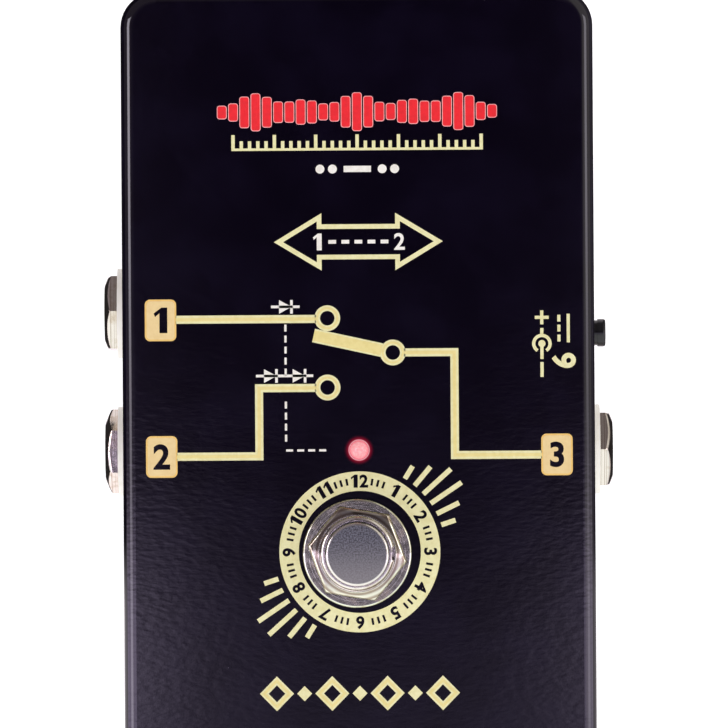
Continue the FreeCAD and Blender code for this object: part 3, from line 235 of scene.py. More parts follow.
def blackScrew():
    look = {"oxide": "#131215", "bare": "#5a5754"}
    steel = Finish("blackScrew")
    rub = steel.between(steel.noise(0.9, detail=4, rough=0.7), 0.6, 0.78)
    brushed = steel.noise(0.5, detail=2, stretch=(1, 6, 1))
    return steel.surface({
        "Base Color": steel.mix(rub * 0.5, tint(look["oxide"]), tint(look["bare"])),
        "Metallic": 0.85,
        "Roughness": 0.38 + 0.16 * brushed - 0.1 * rub,
        "Normal": steel.bump(brushed, 0.006),
    })


def footRubber():
    look = {"base": "#17171a", "dust": "#3b3a3c"}
    rubber = Finish("footRubber")
    grain = rubber.noise(0.18, detail=2)
    dust = rubber.between(rubber.noise(2.6, detail=5, rough=0.65), 0.5, 0.75)
    return rubber.surface({
        "Base Color": rubber.mix(dust * 0.5, tint(look["base"]), tint(look["dust"])),
        "Roughness": 0.74 + 0.16 * grain,
        "Normal": rubber.bump(grain, 0.02),
    })


# Finishes of the metal parts

def nickel(name="nickel", lathe=None, **changes):
    # tool marks run round the foot switch's upright axis, or round the jacks' axes along X; their grooves
    # get a painted darker shade
    look = {"bright": "#dcd7cd", "warm": "#c4b8a6", "grooveShadeColour": "#8d7a68", "roughness": 0.1, "depth": 0.018,
            "markWidth": 0.3, "markDepth": 0.5, "markShade": 0.6} | changes
    metal = Finish(name)
    cloud = metal.noise(2.4, detail=4, rough=0.6)
    waves = metal.noise(1.5, detail=1)
    scratches = metal.noise(0.12, detail=2, stretch=(1, 1, 9))
    stain = metal.between(cloud, 0.45, 0.75)
    colour = metal.mix(stain, tint(look["bright"]), tint(look["warm"]))
    height = waves + 0.06 * scratches
    if lathe:
        x, y = metal.axes((switchSpot[0], switchSpot[1], 0) if lathe == "switch" else (0, 0, 0))[:2]
        marks = metal.lines((x * x + y * y) ** 0.5 if lathe == "switch" else x, look["markWidth"])
        # painted shade: the colour darkens in the grooves of the tool marks
        paintedGrooveShade = metal.between(marks, 0.6, 0.35)
        colour = metal.mix(paintedGrooveShade * look["markShade"], colour, tint(look["grooveShadeColour"]))
        height = height + marks * look["markDepth"]
    return metal.surface({
        "Base Color": colour,
        "Metallic": 1.0,
        "Roughness": look["roughness"] + 0.08 * stain + 0.05 * scratches,
        "Normal": metal.bump(height, look["depth"]),
    })


def paleWasher():
    # washers that are nearly white in the photo, so they are given a faint painted glow of their own
    look = {"base": "#fbf8ee", "shade": "#ebe6d8", "light": "#8d8b84", "cloudSize": 1.2, "markWidth": 0.3}
    metal = Finish("paleWasher")
    cloud = metal.noise(look["cloudSize"], detail=3)
    marks = metal.lines(metal.axes()[0], look["markWidth"])
    stain = metal.between(cloud, 0.4, 0.7) * 0.6
    return metal.surface({
        "Base Color": metal.mix(stain, tint(look["base"]), tint(look["shade"])),
        "Roughness": 0.4 + 0.1 * cloud,
        "Normal": metal.bump(marks, 0.01),
        # painted glow: the washer gives off a little light, though it is no lamp
        "Emission Color": tint(look["light"]),
        "Emission Strength": 1.0,
    })


def buttonMetal():
    # a polished wall, and a blasted top with painted light that makes it lighter towards the south
    look = {"polished": "#d9d5cc", "blasted": "#76767e", "dark": "#434248", "light": "#a09d9a",
            "topRadius": 4.75, "topEdge": 0.12, "grain": 0.25, "patch": 1.6, "lightFrom": 3.5,
            "lightTo": -5, "lightShare": 0.6}
    metal = Finish("buttonMetal")
    buttonHigh = boxInMm("switch_button")[1]
    x, y, z = metal.axes((switchSpot[0], switchSpot[1], buttonHigh[2]))
    reach = (x * x + y * y) ** 0.5
    inside = 1 - metal.between(reach, look["topRadius"] - look["topEdge"], look["topRadius"])
    onTop = inside * metal.between(z, -0.2, -0.1)
    grain = metal.noise(look["grain"], detail=2, rough=0.7)
    patches = metal.noise(look["patch"], detail=3)
    blasted = metal.mix(metal.between(grain, 0.36, 0.62), tint(look["dark"]), tint(look["blasted"]))
    # painted light: the blasted top's colour is lightened towards the south, the side the light comes from
    paintedSouthLight = metal.between(y, look["lightFrom"], look["lightTo"], 0, look["lightShare"])
    blasted = metal.mix(paintedSouthLight, blasted, tint(look["light"]))
    return metal.surface({
        "Base Color": metal.mix(onTop, tint(look["polished"]), blasted),
        "Metallic": 1.0,
        "Roughness": 0.14 + onTop * (0.3 + 0.08 * patches),
        "Normal": metal.bump(onTop * grain + 0.1 * patches, 0.03),
    })


def zincSteel():
    look = {"blue": "#b9bcc0", "straw": "#b8ab8e"}
    metal = Finish("zincSteel")
    drift = metal.between(metal.noise(3.2, detail=4, rough=0.65), 0.4, 0.7)
    grain = metal.noise(0.2, detail=3)
    return metal.surface({
        "Base Color": metal.mix(drift, tint(look["blue"]), tint(look["straw"])),
        "Metallic": 1.0,
        "Roughness": 0.28 + 0.14 * grain,
        "Normal": metal.bump(grain, 0.008),
    })


def springSteel():
    look = {"base": "#8e8c88", "blued": "#5d6068"}
    metal = Finish("springSteel")
    drawn = metal.noise(0.25, detail=2, stretch=(1, 1, 5))
    tone = metal.between(metal.noise(1.8, detail=3), 0.4, 0.7)
    return metal.surface({
        "Base Color": metal.mix(tone, tint(look["base"]), tint(look["blued"])),
        "Metallic": 1.0,
        "Roughness": 0.22 + 0.12 * drawn,
        "Normal": metal.bump(drawn, 0.006),
    })


def tinnedBrass():
    look = {"tin": "#c9c6bd", "brass": "#b99a52"}
    metal = Finish("tinnedBrass")
    worn = metal.between(metal.noise(1.3, detail=5, rough=0.7), 0.55, 0.72)
    grain = metal.noise(0.3, detail=3)
    return metal.surface({
        "Base Color": metal.mix(worn * 0.7, tint(look["tin"]), tint(look["brass"])),
        "Metallic": 1.0,
        "Roughness": 0.24 + 0.16 * grain,
        "Normal": metal.bump(grain, 0.012),
    })


# Finishes of the plastic, laminate and electrical parts

def mouldedPlastic(name, light, dark, roughness, grainDepth=0.012):
    plastic = Finish(name)
    flow = plastic.noise(4.2, detail=3, stretch=(1, 0.5, 1))
    grain = plastic.noise(0.22, detail=2)
    return plastic.surface({
        "Base Color": plastic.mix(plastic.between(flow, 0.35, 0.7), tint(light), tint(dark)),
        "Roughness": roughness + 0.12 * grain,
        "Normal": plastic.bump(grain, grainDepth),
    })


def brownLaminate():
    look = {"light": "#8a5a33", "dark": "#5e371c", "paper": 0.5, "mottle": 2.5}
    board = Finish("brownLaminate")
    fibre = board.noise(look["paper"], detail=4, rough=0.7, stretch=(1, 0.25, 1))
    mottle = board.noise(look["mottle"], detail=3)
    tone = board.between(fibre * 0.6 + mottle * 0.4, 0.35, 0.65)
    return board.surface({
        "Base Color": board.mix(tone, tint(look["dark"]), tint(look["light"])),
        "Roughness": 0.42 + 0.14 * fibre,
        "Normal": board.bump(fibre, 0.012),
    })


def greenBoard():
    look = {"mask": "#0f4a2b", "track": "#1f6b40", "edge": "#b3a06a", "trackPitch": 2.54,
            "trackHalf": (0.3, 0.36), "trackRun": 6.5, "weave": 0.35}
    board = Finish("greenBoard")
    low, high = boxInMm("circuit_board")
    x, z = board.axes((0, 0, (low[2] + high[2]) / 2))[::2]
    row = board.node("ShaderNodeMath", {"operation": "PINGPONG"}, {0: x, 1: look["trackPitch"] / 2})
    run = board.between(board.noise(look["trackRun"], stretch=(1, 0.2, 1)), 0.48, 0.52)
    track = (1 - board.between(row, *look["trackHalf"])) * run
    half = float(high[2] - low[2]) / 2
    rim = 1 - board.between((z * z) ** 0.5, half - 0.05, half - 0.02)
    weave = board.noise(look["weave"], detail=2)
    colour = board.mix(track, tint(look["mask"]), tint(look["track"]))
    return board.surface({
        "Base Color": board.mix(rim, colour, tint(look["edge"])),
        "Roughness": 0.26 + 0.1 * weave + 0.4 * rim,
        "Normal": board.bump(track * (1 - rim) + 0.2 * weave, 0.02),
    })


def lampGlow():
    look = {"heart": "#f0a8ac", "pale": "#f8c2c4", "rim": "#f07a88", "dark": "#8f0b22",
            "rimReach": (1.15, 1.5), "litDepth": (-4.0, -1.6), "mottle": 0.35}
    lamp = Finish("lampGlow")
    x, y, z = lamp.axes((lampSpot[0], lampSpot[1], lampHigh[2]))
    reach = (x * x + y * y) ** 0.5
    rim = lamp.between(reach, *look["rimReach"])
    depth = lamp.between(z, *look["litDepth"])
    mottle = lamp.noise(look["mottle"], detail=2)
    heart = lamp.mix(lamp.between(mottle, 0.4, 0.65), tint(look["heart"]), tint(look["pale"]))
    lit = lamp.mix(rim, heart, tint(look["rim"]))
    return lamp.surface({
        "Base Color": lamp.mix(mottle * 0.3, tint(look["dark"]), tint(look["rim"])),
        "Roughness": 0.14 + 0.06 * mottle,
        "Emission Color": lamp.mix(depth, tint(look["dark"]), lit),
        "Emission Strength": 0.8,
    })


def bandedBody(name, node, ground, bands, spread):
    # a lacquered body along Y with painted rings; bands are (colour, share of the length)
    body = Finish(name)
    low, high = boxInMm(node)
    share = body.axes((0, float(low[1]), 0))[1] / float(high[1] - low[1])
    grain = body.noise(0.4, detail=3)
    colour = body.mix(grain * spread, tint(ground), tint("#2a1d12"))
    for band, centre, half in bands:
        inside = body.between(((share - centre) ** 2) ** 0.5, half, half + 0.015, 1, 0)
        colour = body.mix(inside, colour, tint(band))
    return body.surface({
        "Base Color": colour,
        "Roughness": 0.3 + 0.14 * grain,
        "Normal": body.bump(grain, 0.015),
    })


def insulation(name, base, scuff):
    cover = Finish(name)
    marks = cover.between(cover.noise(1.1, detail=5, rough=0.7), 0.55, 0.75)
    grain = cover.noise(0.16, detail=2)
    return cover.surface({
        "Base Color": cover.mix(marks * 0.5, tint(base), tint(scuff)),
        "Roughness": 0.38 + 0.14 * grain,
        "Normal": cover.bump(grain, 0.01),
    })


def printInk(name, base, shade):
    # screen-printed ink, a little uneven in colour and height
    look = {"patch": 0.9, "grain": 0.12, "roughness": 0.36, "depth": 0.006}
    paste = Finish(name)
    cloud = paste.noise(look["patch"], detail=3, rough=0.6)
    grain = paste.noise(look["grain"], detail=2)
    return paste.surface({
        "Base Color": paste.mix(paste.between(cloud, 0.35, 0.7), tint(base), tint(shade)),
        "Roughness": look["roughness"] + 0.1 * grain,
        "Normal": paste.bump(grain, look["depth"]),
    })


resistorBands = [("#8a2f1c", 0.16, 0.035), ("#1a1512", 0.36, 0.035), ("#c4761c", 0.52, 0.035),
                 ("#b8923a", 0.8, 0.035)]
diodeBand = [("#cfcac0", 0.85, 0.05)]

finishes = {
    "case_paint": casePaint(),
    "cover_paint": coverPaint(),
    "black_screw": blackScrew(),
    "foot_rubber": footRubber(),
    "nickel": nickel(),
    "button_metal": buttonMetal(),
    "zinc_steel": zincSteel(),
    "spring_steel": springSteel(),
    "blue_plastic": mouldedPlastic("bluePlastic", "#1d4f9c", "#163f80", 0.36),
    "white_plastic": mouldedPlastic("whitePlastic", "#dcd8cc", "#c9c2b0", 0.42),
    "brown_laminate": brownLaminate(),
    "tinned_brass": tinnedBrass(),
    "inlet_plastic": mouldedPlastic("inletPlastic", "#0a0a0c", "#131217", 0.16, 0.004),
    "green_board": greenBoard(),
    "lamp_red": lampGlow(),
    "resistor_tan": bandedBody("resistorTan", "resistors", "#c9a877", resistorBands, 0.25),
    "black_epoxy": bandedBody("blackEpoxy", "diode", "#151417", diodeBand, 0.1),
    "white_insulation": insulation("whiteInsulation", "#dedad0", "#a8a296"),
    "black_insulation": insulation("blackInsulation", "#141316", "#38353a"),
    "red_insulation": insulation("redInsulation", "#a81a1e", "#6a1416"),
}
ownFinishes = {
    "switch_washer": nickel("washerNickel", "switch", bright="#d8dac6", warm="#bfb99c", roughness=0.06,
                            depth=0.008, markWidth=0.4, markDepth=0.4, markShade=0.8),
    "switch_nut": nickel("nutNickel", "switch", bright="#dcdac6", warm="#c4b8a0", roughness=0.06,
                         depth=0.009, markWidth=0.45, markDepth=0.4, markShade=0.8),
    "jack_nuts": nickel("jackNutNickel", "jack", roughness=0.06, depth=0.007, markWidth=0.2,
                        markDepth=0.4),
    "jack_washers": paleWasher(),
}
for name, node in nodes.items():
    for slot in node.material_slots:
        slot.material = ownFinishes.get(name) or finishes[slot.material.name.split(".")[0]]
print("finishes:", len(finishes))


# Shapes worked out as whole arrays, in millimetres

class Shape:
    # points, and faces as one run of corner numbers with the count of each face

    def __init__(self, points, corners, counts):
        self.points = np.asarray(points, float)
        self.corners = np.asarray(corners, int)
        self.counts = np.asarray(counts, int)


def joined(shapes):
    # each shape's corner numbers start where the points of the one before end
    starts = np.cumsum([0] + [len(shape.points) for shape in shapes[:-1]])
    corners = [shape.corners + start for shape, start in zip(shapes, starts)]
    return Shape(np.concatenate([shape.points for shape in shapes]), np.concatenate(corners),
                 np.concatenate([shape.counts for shape in shapes]))


def skin(grid, closedRows=False):
    # a four-sided face between each point of the grid and its neighbours; columns run round in a ring,
    # and so do rows that are closed, while open ones get a face over each end
    rows, columns = grid.shape[:2]
    number = np.arange(rows * columns).reshape(rows, columns)
    after = np.roll(number, -1, axis=1)
    here, there = (number, np.roll(number, -1, axis=0)) if closedRows else (number[:-1], number[1:])
    hereAfter, thereAfter = (after, np.roll(after, -1, axis=0)) if closedRows else (after[:-1], after[1:])
    quads = np.stack([here, hereAfter, thereAfter, there], axis=-1).reshape(-1)
    counts = np.full(len(quads) // 4, 4)
    if not closedRows:
        quads = np.concatenate([quads, number[0][::-1], number[-1]])
        counts = np.concatenate([counts, [columns, columns]])
    return Shape(grid.reshape(-1, 3), quads, counts)


def prism(outline, low, high):
    # the outline runs counter-clockwise; it is drawn up from low to high
    outline = np.asarray(outline, float)
    grid = np.empty((2, len(outline), 3))
    grid[:, :, :2] = outline
    grid[0, :, 2] = low
    grid[1, :, 2] = high
    return skin(grid)


def carried(path, profile, closed=False):
    # a profile of (across, up) carried along a level path: point = path + left * across * stretch + up;
    # left halves the turn at each corner, and stretch is one over the cosine of half that turn
    path = np.asarray(path, float)
    profile = np.asarray(profile, float)
    run = np.roll(path, -1, axis=0) - path
    run = run / np.maximum(np.linalg.norm(run, axis=1, keepdims=True), 1e-9)
    before = np.roll(run, 1, axis=0)
    if not closed:
        run[-1] = run[-2]
        before[0] = run[0]
    heading = run + before
    heading = heading / np.linalg.norm(heading, axis=1, keepdims=True)
    left = np.stack([-heading[:, 1], heading[:, 0], 0 * heading[:, 0]], axis=1)
    side = np.stack([-run[:, 1], run[:, 0], 0 * run[:, 0]], axis=1)
    left = left / np.linalg.norm(left, axis=1, keepdims=True)
    stretch = 1 / np.maximum((left * side).sum(axis=1, keepdims=True), 0.2)
    grid = path[:, None, :] + (left * stretch)[:, None, :] * profile[None, :, :1]
    grid[:, :, 2] += profile[None, :, 1]
    return skin(grid, closedRows=closed)


def arc(centre, radius, start, end, steps):
    # points from angle start to angle end, in degrees, counter-clockwise from +X
    angle = np.radians(np.linspace(start, end, steps))
    return np.stack([centre[0] + radius * np.cos(angle), centre[1] + radius * np.sin(angle)], axis=1)


def roundedBox(low, high, corner, steps=7):
    # four quarter turns, counter-clockwise from the lower right
    spots = [(high[0] - corner, low[1] + corner, -90), (high[0] - corner, high[1] - corner, 0),
             (low[0] + corner, high[1] - corner, 90), (low[0] + corner, low[1] + corner, 180)]
    return np.concatenate([arc(spot[:2], corner, spot[2], spot[2] + 90, steps) for spot in spots])


def swept(path, radius, sides=14):
    # a round rod: point = path + radius * (normal * cos + binormal * sin), about each point's own heading
    path = np.asarray(path, float)
    heading = np.gradient(path, axis=0)
    heading = heading / np.linalg.norm(heading, axis=1, keepdims=True)
    up = np.broadcast_to([0.0, 0.0, 1.0], path.shape)
    normal = np.cross(up, heading)
    normal = normal / np.linalg.norm(normal, axis=1, keepdims=True)
    binormal = np.cross(heading, normal)
    angle = np.linspace(0, 2 * math.pi, sides, endpoint=False)[None, :, None]
    around = normal[:, None, :] * np.cos(angle) + binormal[:, None, :] * np.sin(angle)
    return skin(path[:, None, :] + radius * around)


def helix(centre, radius, low, high, turns, perTurn=40):
    # x and y go round the centre while z climbs steadily
    angle = np.linspace(0, 2 * math.pi * turns, int(perTurn * turns) + 1)
    climb = np.linspace(low, high, len(angle))
    x, y = centre[0] + radius * np.cos(angle), centre[1] + radius * np.sin(angle)
    return np.stack([x, y, climb], axis=1)


def placed(name, data):
    holder = bpy.data.objects.new(name, data)
    bpy.context.scene.collection.objects.link(holder)
    return holder


def makePiece(name, shape, finish, smooth=35):
    # smooth is the angle in degrees from which an edge between two faces is sharp
    mesh = bpy.data.meshes.new(name)
    mesh.vertices.add(len(shape.points))
    mesh.vertices.foreach_set("co", (shape.points * mm).ravel())
    mesh.loops.add(len(shape.corners))
    mesh.loops.foreach_set("vertex_index", shape.corners)
    mesh.polygons.add(len(shape.counts))
    mesh.polygons.foreach_set("loop_start", np.cumsum(shape.counts) - shape.counts)
    mesh.update(calc_edges=True)
    mesh.validate()
    mesh.polygons.foreach_set("use_smooth", np.ones(len(mesh.polygons), bool))
    mesh.set_sharp_from_angle(angle=math.radians(smooth))
    mesh.materials.append(finish)
    piece = placed(name, mesh)
    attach(piece, "root")
    return piece


# Printing on the top face

# how far each layer stands above the face, and how far all of them reach into it
ink = {"sunk": 0.02, "cream": 0.03, "core": 0.045, "mark": 0.06}
inks = {
    "cream": printInk("creamInk", "#efecb4", "#e6e0a2"),
    "tan": printInk("tanInk", "#eee094", "#e8d98a"),
    "box": printInk("boxInk", "#f0d697", "#ebcf8f"),
    "orange": printInk("orangeInk", "#f3cc74", "#eec46a"),
    "white": printInk("whiteInk", "#f8f6ea", "#ece8da"),
    "red": printInk("redInk", "#f40016", "#e80012"),
    "pink": printInk("pinkInk", "#ffb9b4", "#f7a29e"),
    "dark": casePaint("darkInk"),
}
printed = {key: [] for key in inks}


def level(height):
    return faceZ + height


def flat(points):
    # a level path just above the face
    points = np.asarray(points, float)
    return np.column_stack([points, np.full(len(points), faceZ)])


def rail(half, top):
    # a printed line's section, from its left foot over the top to its right foot
    return [(half, -ink["sunk"]), (half, top), (-half, top), (-half, -ink["sunk"])]


def band(path, width, closed=False, coreShare=0.42):
    # a cream line, and a narrower tan one along its middle that has this share of its width
    printed["cream"].append(carried(flat(path), rail(width / 2, ink["cream"]), closed))
    if coreShare:
        printed["tan"].append(carried(flat(path), rail(coreShare * width / 2, ink["core"]), closed))


def fill(outline, tone="cream", top=ink["cream"]):
    printed[tone].append(prism(outline, level(-ink["sunk"]), level(top)))


def bar(x, y, width, height, tone="cream", top=ink["cream"], turn=0.0):
    # a plain rectangle about x, y
    corners = np.array([(-width, -height), (width, -height), (width, height), (-width, height)]) / 2
    fill(turned(corners, turn) + (x, y), tone, top)


def toward(degrees):
    # one millimetre in a direction, counter-clockwise from +X
    return np.array((math.cos(math.radians(degrees)), math.sin(math.radians(degrees))))


def turned(points, degrees):
    return np.asarray(points) @ np.array([toward(degrees), toward(degrees + 90)])


def spread(count, pitch):
    # this many places, a pitch apart, about 0
    return (np.arange(count) - (count - 1) / 2) * pitch


def dot(x, y, radius, tone="cream", top=ink["cream"]):
    fill(arc((x, y), radius, 0, 345, 24), tone, top)


def digit(mark, weight):
    # one digit as points, corners and counts, 1 high from the line it stands on; 1 is drawn with a flag
    look = {"stem": 0.2, "flag": 0.3, "flagTip": 0.77, "flagFoot": (0.05, 0.63), "notch": 0.78,
            "extrude": 0.05, "smooth": 6}
    if mark == "1":
        stem, flag = look["stem"] + weight, look["flag"]
        outline = [(flag - stem / 3, 0), (flag + stem, 0), (flag + stem, 1), (flag, 1),
                   (0, look["flagTip"]), look["flagFoot"], (flag - stem / 3, look["notch"])]
        one = prism(outline, -0.5, 0.5)
        return one.points, one.corners, one.counts
    curve = bpy.data.curves.new("figure", "FONT")
    curve.body = mark
    curve.offset = weight
    curve.extrude = look["extrude"]
    curve.resolution_u = look["smooth"]
    holder = placed("figure", curve)
    graph = bpy.context.evaluated_depsgraph_get()
    mesh = bpy.data.meshes.new_from_object(holder.evaluated_get(graph))
    points = np.empty(len(mesh.vertices) * 3)
    mesh.vertices.foreach_get("co", points)
    corners = np.empty(len(mesh.loops), int)
    mesh.loops.foreach_get("vertex_index", corners)
    counts = np.empty(len(mesh.polygons), int)
    mesh.polygons.foreach_get("loop_total", counts)
    bpy.data.objects.remove(holder)
    bpy.data.curves.remove(curve)
    bpy.data.meshes.remove(mesh)
    points = points.reshape(-1, 3)
    low, high = points.min(axis=0), points.max(axis=0)
    points[:, :2] = (points[:, :2] - low[:2]) / (high[1] - low[1])
    return points, corners, counts


def figure(number, height, x, y, tone="cream", top=ink["cream"], turn=0.0, weight=0.03, gap=0.14):
    # the number's digits side by side, as tall as height, about x, y
    marks = [digit(mark, weight) for mark in number]
    widths = [points[:, 0].max() for points, corners, counts in marks]
    across = -(sum(widths) + gap * (len(marks) - 1)) / 2
    for (points, corners, counts), width in zip(marks, widths):
        spots = points + (across, -0.5, 0)
        spots[:, :2] = turned(spots[:, :2] * height, turn) + (x, y)
        spots[:, 2] = np.where(points[:, 2] > 0, level(top), level(-ink["sunk"]))
        printed[tone].append(Shape(spots, corners, counts))
        across += width + gap


# The places are millimetres from the middle of the case, read off the photo
plan = {
    "lineWidth": 1.3,
    "dotOuter": 2.07, "dotInner": 1.17,
    "box1": (-31.79, 9.55), "box2": (-31.73, -12.41), "box3": (31.82, -12.40),
    "boxSize": (5.05, 6.7), "boxCorner": 0.85, "boxFigure": 4.1,
    "dot1": (-4.98, 9.73), "dot2": (-5.0, -1.41), "dot3": (5.52, 4.15),
    "bendWest": -16.02, "bendEast": 15.42, "upperRun": 9.63, "middleRun": -1.46, "lowRun": -12.4,
    "lever": (-7.2, 6.97), "leverWidth": 2.2, "leverCore": 0.76,
    "boxRim": 0.28, "innerCorner": 0.6, "dotRims": (0.3, 0.28), "boxOverlap": 0.1, "dotOverlap": 0.25,
}


def ringBand(centre, outer, inner, tone="cream", top=ink["cream"], start=0.0, end=360.0, steps=49):
    # a flat ring, or a part of one, as a rectangle carried round the circle
    whole = end - start >= 360
    path = flat(arc(centre, (outer + inner) / 2, start, end, steps))
    printed[tone].append(carried(path[:-1] if whole else path, rail((outer - inner) / 2, top), whole))


def printDiagram():
    # three numbered boxes, a ring at each contact, the branches between them, and the lever
    size, overlap = np.array(plan["boxSize"]) / 2, plan["boxOverlap"]
    inner = size - plan["boxRim"]
    for key, number in (("box1", "1"), ("box2", "2"), ("box3", "3")):
        spot = np.array(plan[key])
        fill(roundedBox(spot - size, spot + size, plan["boxCorner"]), "orange")
        fill(roundedBox(spot - inner, spot + inner, plan["innerCorner"]), "box", ink["core"])
        figure(number, plan["boxFigure"], spot[0], spot[1], "dark", ink["mark"])
    outerRim, innerRim = plan["dotRims"]
    for key in ("dot1", "dot2", "dot3"):
        outer, hole = plan["dotOuter"], plan["dotInner"]
        ringBand(plan[key], outer, hole)
        ringBand(plan[key], outer - outerRim, hole + innerRim, "tan", ink["core"])
    reach = plan["dotOuter"] - plan["dotOverlap"]
    upper, middle, low = plan["upperRun"], plan["middleRun"], plan["lowRun"]
    west, east, pivotY = plan["bendWest"], plan["bendEast"], plan["dot3"][1]
    for path in (
        [(plan["box1"][0] + size[0] - overlap, upper), (plan["dot1"][0] - reach, upper)],
        [(plan["box2"][0] + size[0] - overlap, low), (west, low), (west, middle),
         (plan["dot2"][0] - reach, middle)],
        [(plan["dot3"][0] + reach, pivotY), (east, pivotY), (east, low),
         (plan["box3"][0] - size[0] + overlap, low)],
    ):
        band(path, plan["lineWidth"])
    lever, pivot = np.array(plan["lever"]), np.array(plan["dot3"])
    along = (pivot - lever) / np.linalg.norm(pivot - lever)
    band([lever, pivot - along * reach], plan["leverWidth"], coreShare=plan["leverCore"])


def printDashes():
    # a dashed line down from the upper branch and east to the lamp, open where it crosses the lower one
    look = {"west": -11.72, "north": 8.75, "south": -11.5, "east": -3.6, "pitch": 1.77, "dash": 1.12,
            "width": 0.36, "lastRoom": 0.8, "crossing": -1.41, "open": 1.2}
    half = look["dash"] / 2
    for y in np.arange(look["north"], look["south"] + look["lastRoom"], -look["pitch"]) - half:
        if abs(y - look["crossing"]) > look["open"]:
            bar(look["west"], y, look["width"], look["dash"], "white")
    for x in np.arange(look["west"], look["east"] - look["dash"], look["pitch"]) + half:
        bar(x, look["south"], look["dash"], look["width"], "white")


def printDiodes():
    # a lamp's schematic sign over each branch: a triangle, its bar and a wire through both; each row
    # has its middle and its count
    look = {"height": 2.2, "wire": 0.42, "length": 2.3, "arrow": 1.0,
            "rows": ((-11.72, 11.6, 1), (-11.9, 0.5, 2))}
    half, arrow, length = look["height"] / 2, look["arrow"], 2 * look["length"]
    for x, y, signs in look["rows"]:
        for middle in x + spread(signs, length):
            triangle = [(middle + arrow, y), (middle - arrow, y + half), (middle - arrow, y - half)]
            fill(triangle, "white")
            bar(middle + arrow, y, look["wire"], look["height"], "white")
            bar(middle, y, length, look["wire"], "white")


def printArrow():
    # a double arrow's outline, drawn from one quarter of it, round two figures and a dashed line
    look = {"middle": (0.1, 22.0), "tip": 12.85, "headX": 6.3, "headY": 3.95, "shaftY": 2.45,
            "width": 0.76, "figure": 2.7, "figureX": 6.6, "figureWeight": 0.02, "dashes": 5,
            "dashPitch": 2.1, "dash": (1.25, 0.6)}
    x, y = look["middle"]
    quarter = [(look["tip"], 0), (look["headX"], look["headY"]), (look["headX"], look["shaftY"])]
    points = quarter + [(-a, b) for a, b in quarter[::-1]]
    points += [(a, -b) for a, b in points[-2:0:-1]]
    band(np.array(points) + (x, y), look["width"], closed=True, coreShare=0)
    for number, side in (("1", -1), ("2", 1)):
        figure(number, look["figure"], x + side * look["figureX"], y, "white", weight=look["figureWeight"])
    for across in spread(look["dashes"], look["dashPitch"]):
        bar(x + across, y, *look["dash"], "white")


def printPolarity():
    # a plus over a ring that is open at its foot, a dot in it with a line down, and a minus
    look = {"x": 29.5, "plusY": 9.65, "plus": 2.25, "ringY": 5.43, "outer": 1.58, "inner": 1.05,
            "open": 32, "dot": 0.58, "stroke": 0.52, "lineEnd": 2.95, "stub": 0.95, "stubRise": 0.45,
            "minus": (2.47, 0.06)}
    x, ringY, stroke = look["x"], look["ringY"], look["stroke"]
    bar(x, look["plusY"], look["plus"], stroke)
    bar(x, look["plusY"], stroke, look["plus"], top=ink["core"])
    ringBand((x, ringY), look["outer"], look["inner"], start=-90 + look["open"], end=270 - look["open"])
    dot(x, ringY, look["dot"], top=ink["core"])
    bar(x, (ringY + look["lineEnd"]) / 2, stroke, ringY - look["lineEnd"])
    bar(x, ringY + look["outer"] + look["stubRise"], stroke, look["stub"])
    top, bottom = look["minus"]
    bar(x, (top + bottom) / 2, stroke, top - bottom)


def printRating():
    # a digit and the sign for direct current, turned to be read from the right
    look = {"x": 33.0, "signY": 7.9, "half": 0.75, "stroke": 0.5, "length": 4.6, "dashes": 3,
            "dash": 1.1, "dashPitch": 1.6, "figureY": 2.7, "height": 3.9}
    x, half, stroke = look["x"], look["half"], look["stroke"]
    bar(x + half, look["signY"], stroke, look["length"])
    for y in look["signY"] + spread(look["dashes"], look["dashPitch"]):
        bar(x - half, y, stroke, look["dash"])
    figure("9", look["height"], x, look["figureY"], turn=-90)


def printLevels():
    # red level bars across the top of the face, over a slightly larger pink ground
    look = {"middle": (0.0, 42.9), "count": 25, "pitch": 1.81, "width": 1.36, "least": 1.6, "most": 6.0,
            "rim": 0.12, "corner": 0.3, "waves": (1.05, 0.31)}
    steps = spread(look["count"], 1)
    fast, slow = look["waves"]
    wave = 0.5 + 0.5 * np.cos(steps * fast) * np.cos(steps * slow)
    heights = look["least"] + (look["most"] - look["least"]) * wave
    for step, height in zip(steps, heights):
        spot = np.array(look["middle"]) + (step * look["pitch"], 0)
        size = np.array((look["width"], height)) / 2
        for tone, grow, top in (("pink", look["rim"], ink["cream"]), ("red", 0, ink["core"])):
            fill(roundedBox(spot - size - grow, spot + size + grow, look["corner"] + grow, 4), tone, top)


def printScale():
    # a ruler's ticks below the level bars, and dots and a dash below them
    look = {"middle": 38.1, "count": 31, "pitch": 1.33, "width": 0.55, "short": 1.3, "tall": 2.3,
            "every": 5, "base": 0.4, "baseDrop": 0.05, "dotsY": 33.7, "dot": 0.72, "dotPitch": 2.0,
            "dots": (-3, -2, 2, 3), "dash": (4.4, 1.0)}
    foot = look["middle"] - look["tall"] / 2
    for step, x in enumerate(spread(look["count"], look["pitch"])):
        height = look["short"] if step % look["every"] else look["tall"]
        bar(x, foot + height / 2, look["width"], height)
    length = (look["count"] - 1) * look["pitch"] + look["width"]
    bar(0, foot - look["baseDrop"], length, look["base"], top=ink["core"])
    for step in look["dots"]:
        dot(step * look["dotPitch"], look["dotsY"], look["dot"], "white")
    bar(0, look["dotsY"], *look["dash"], "white")


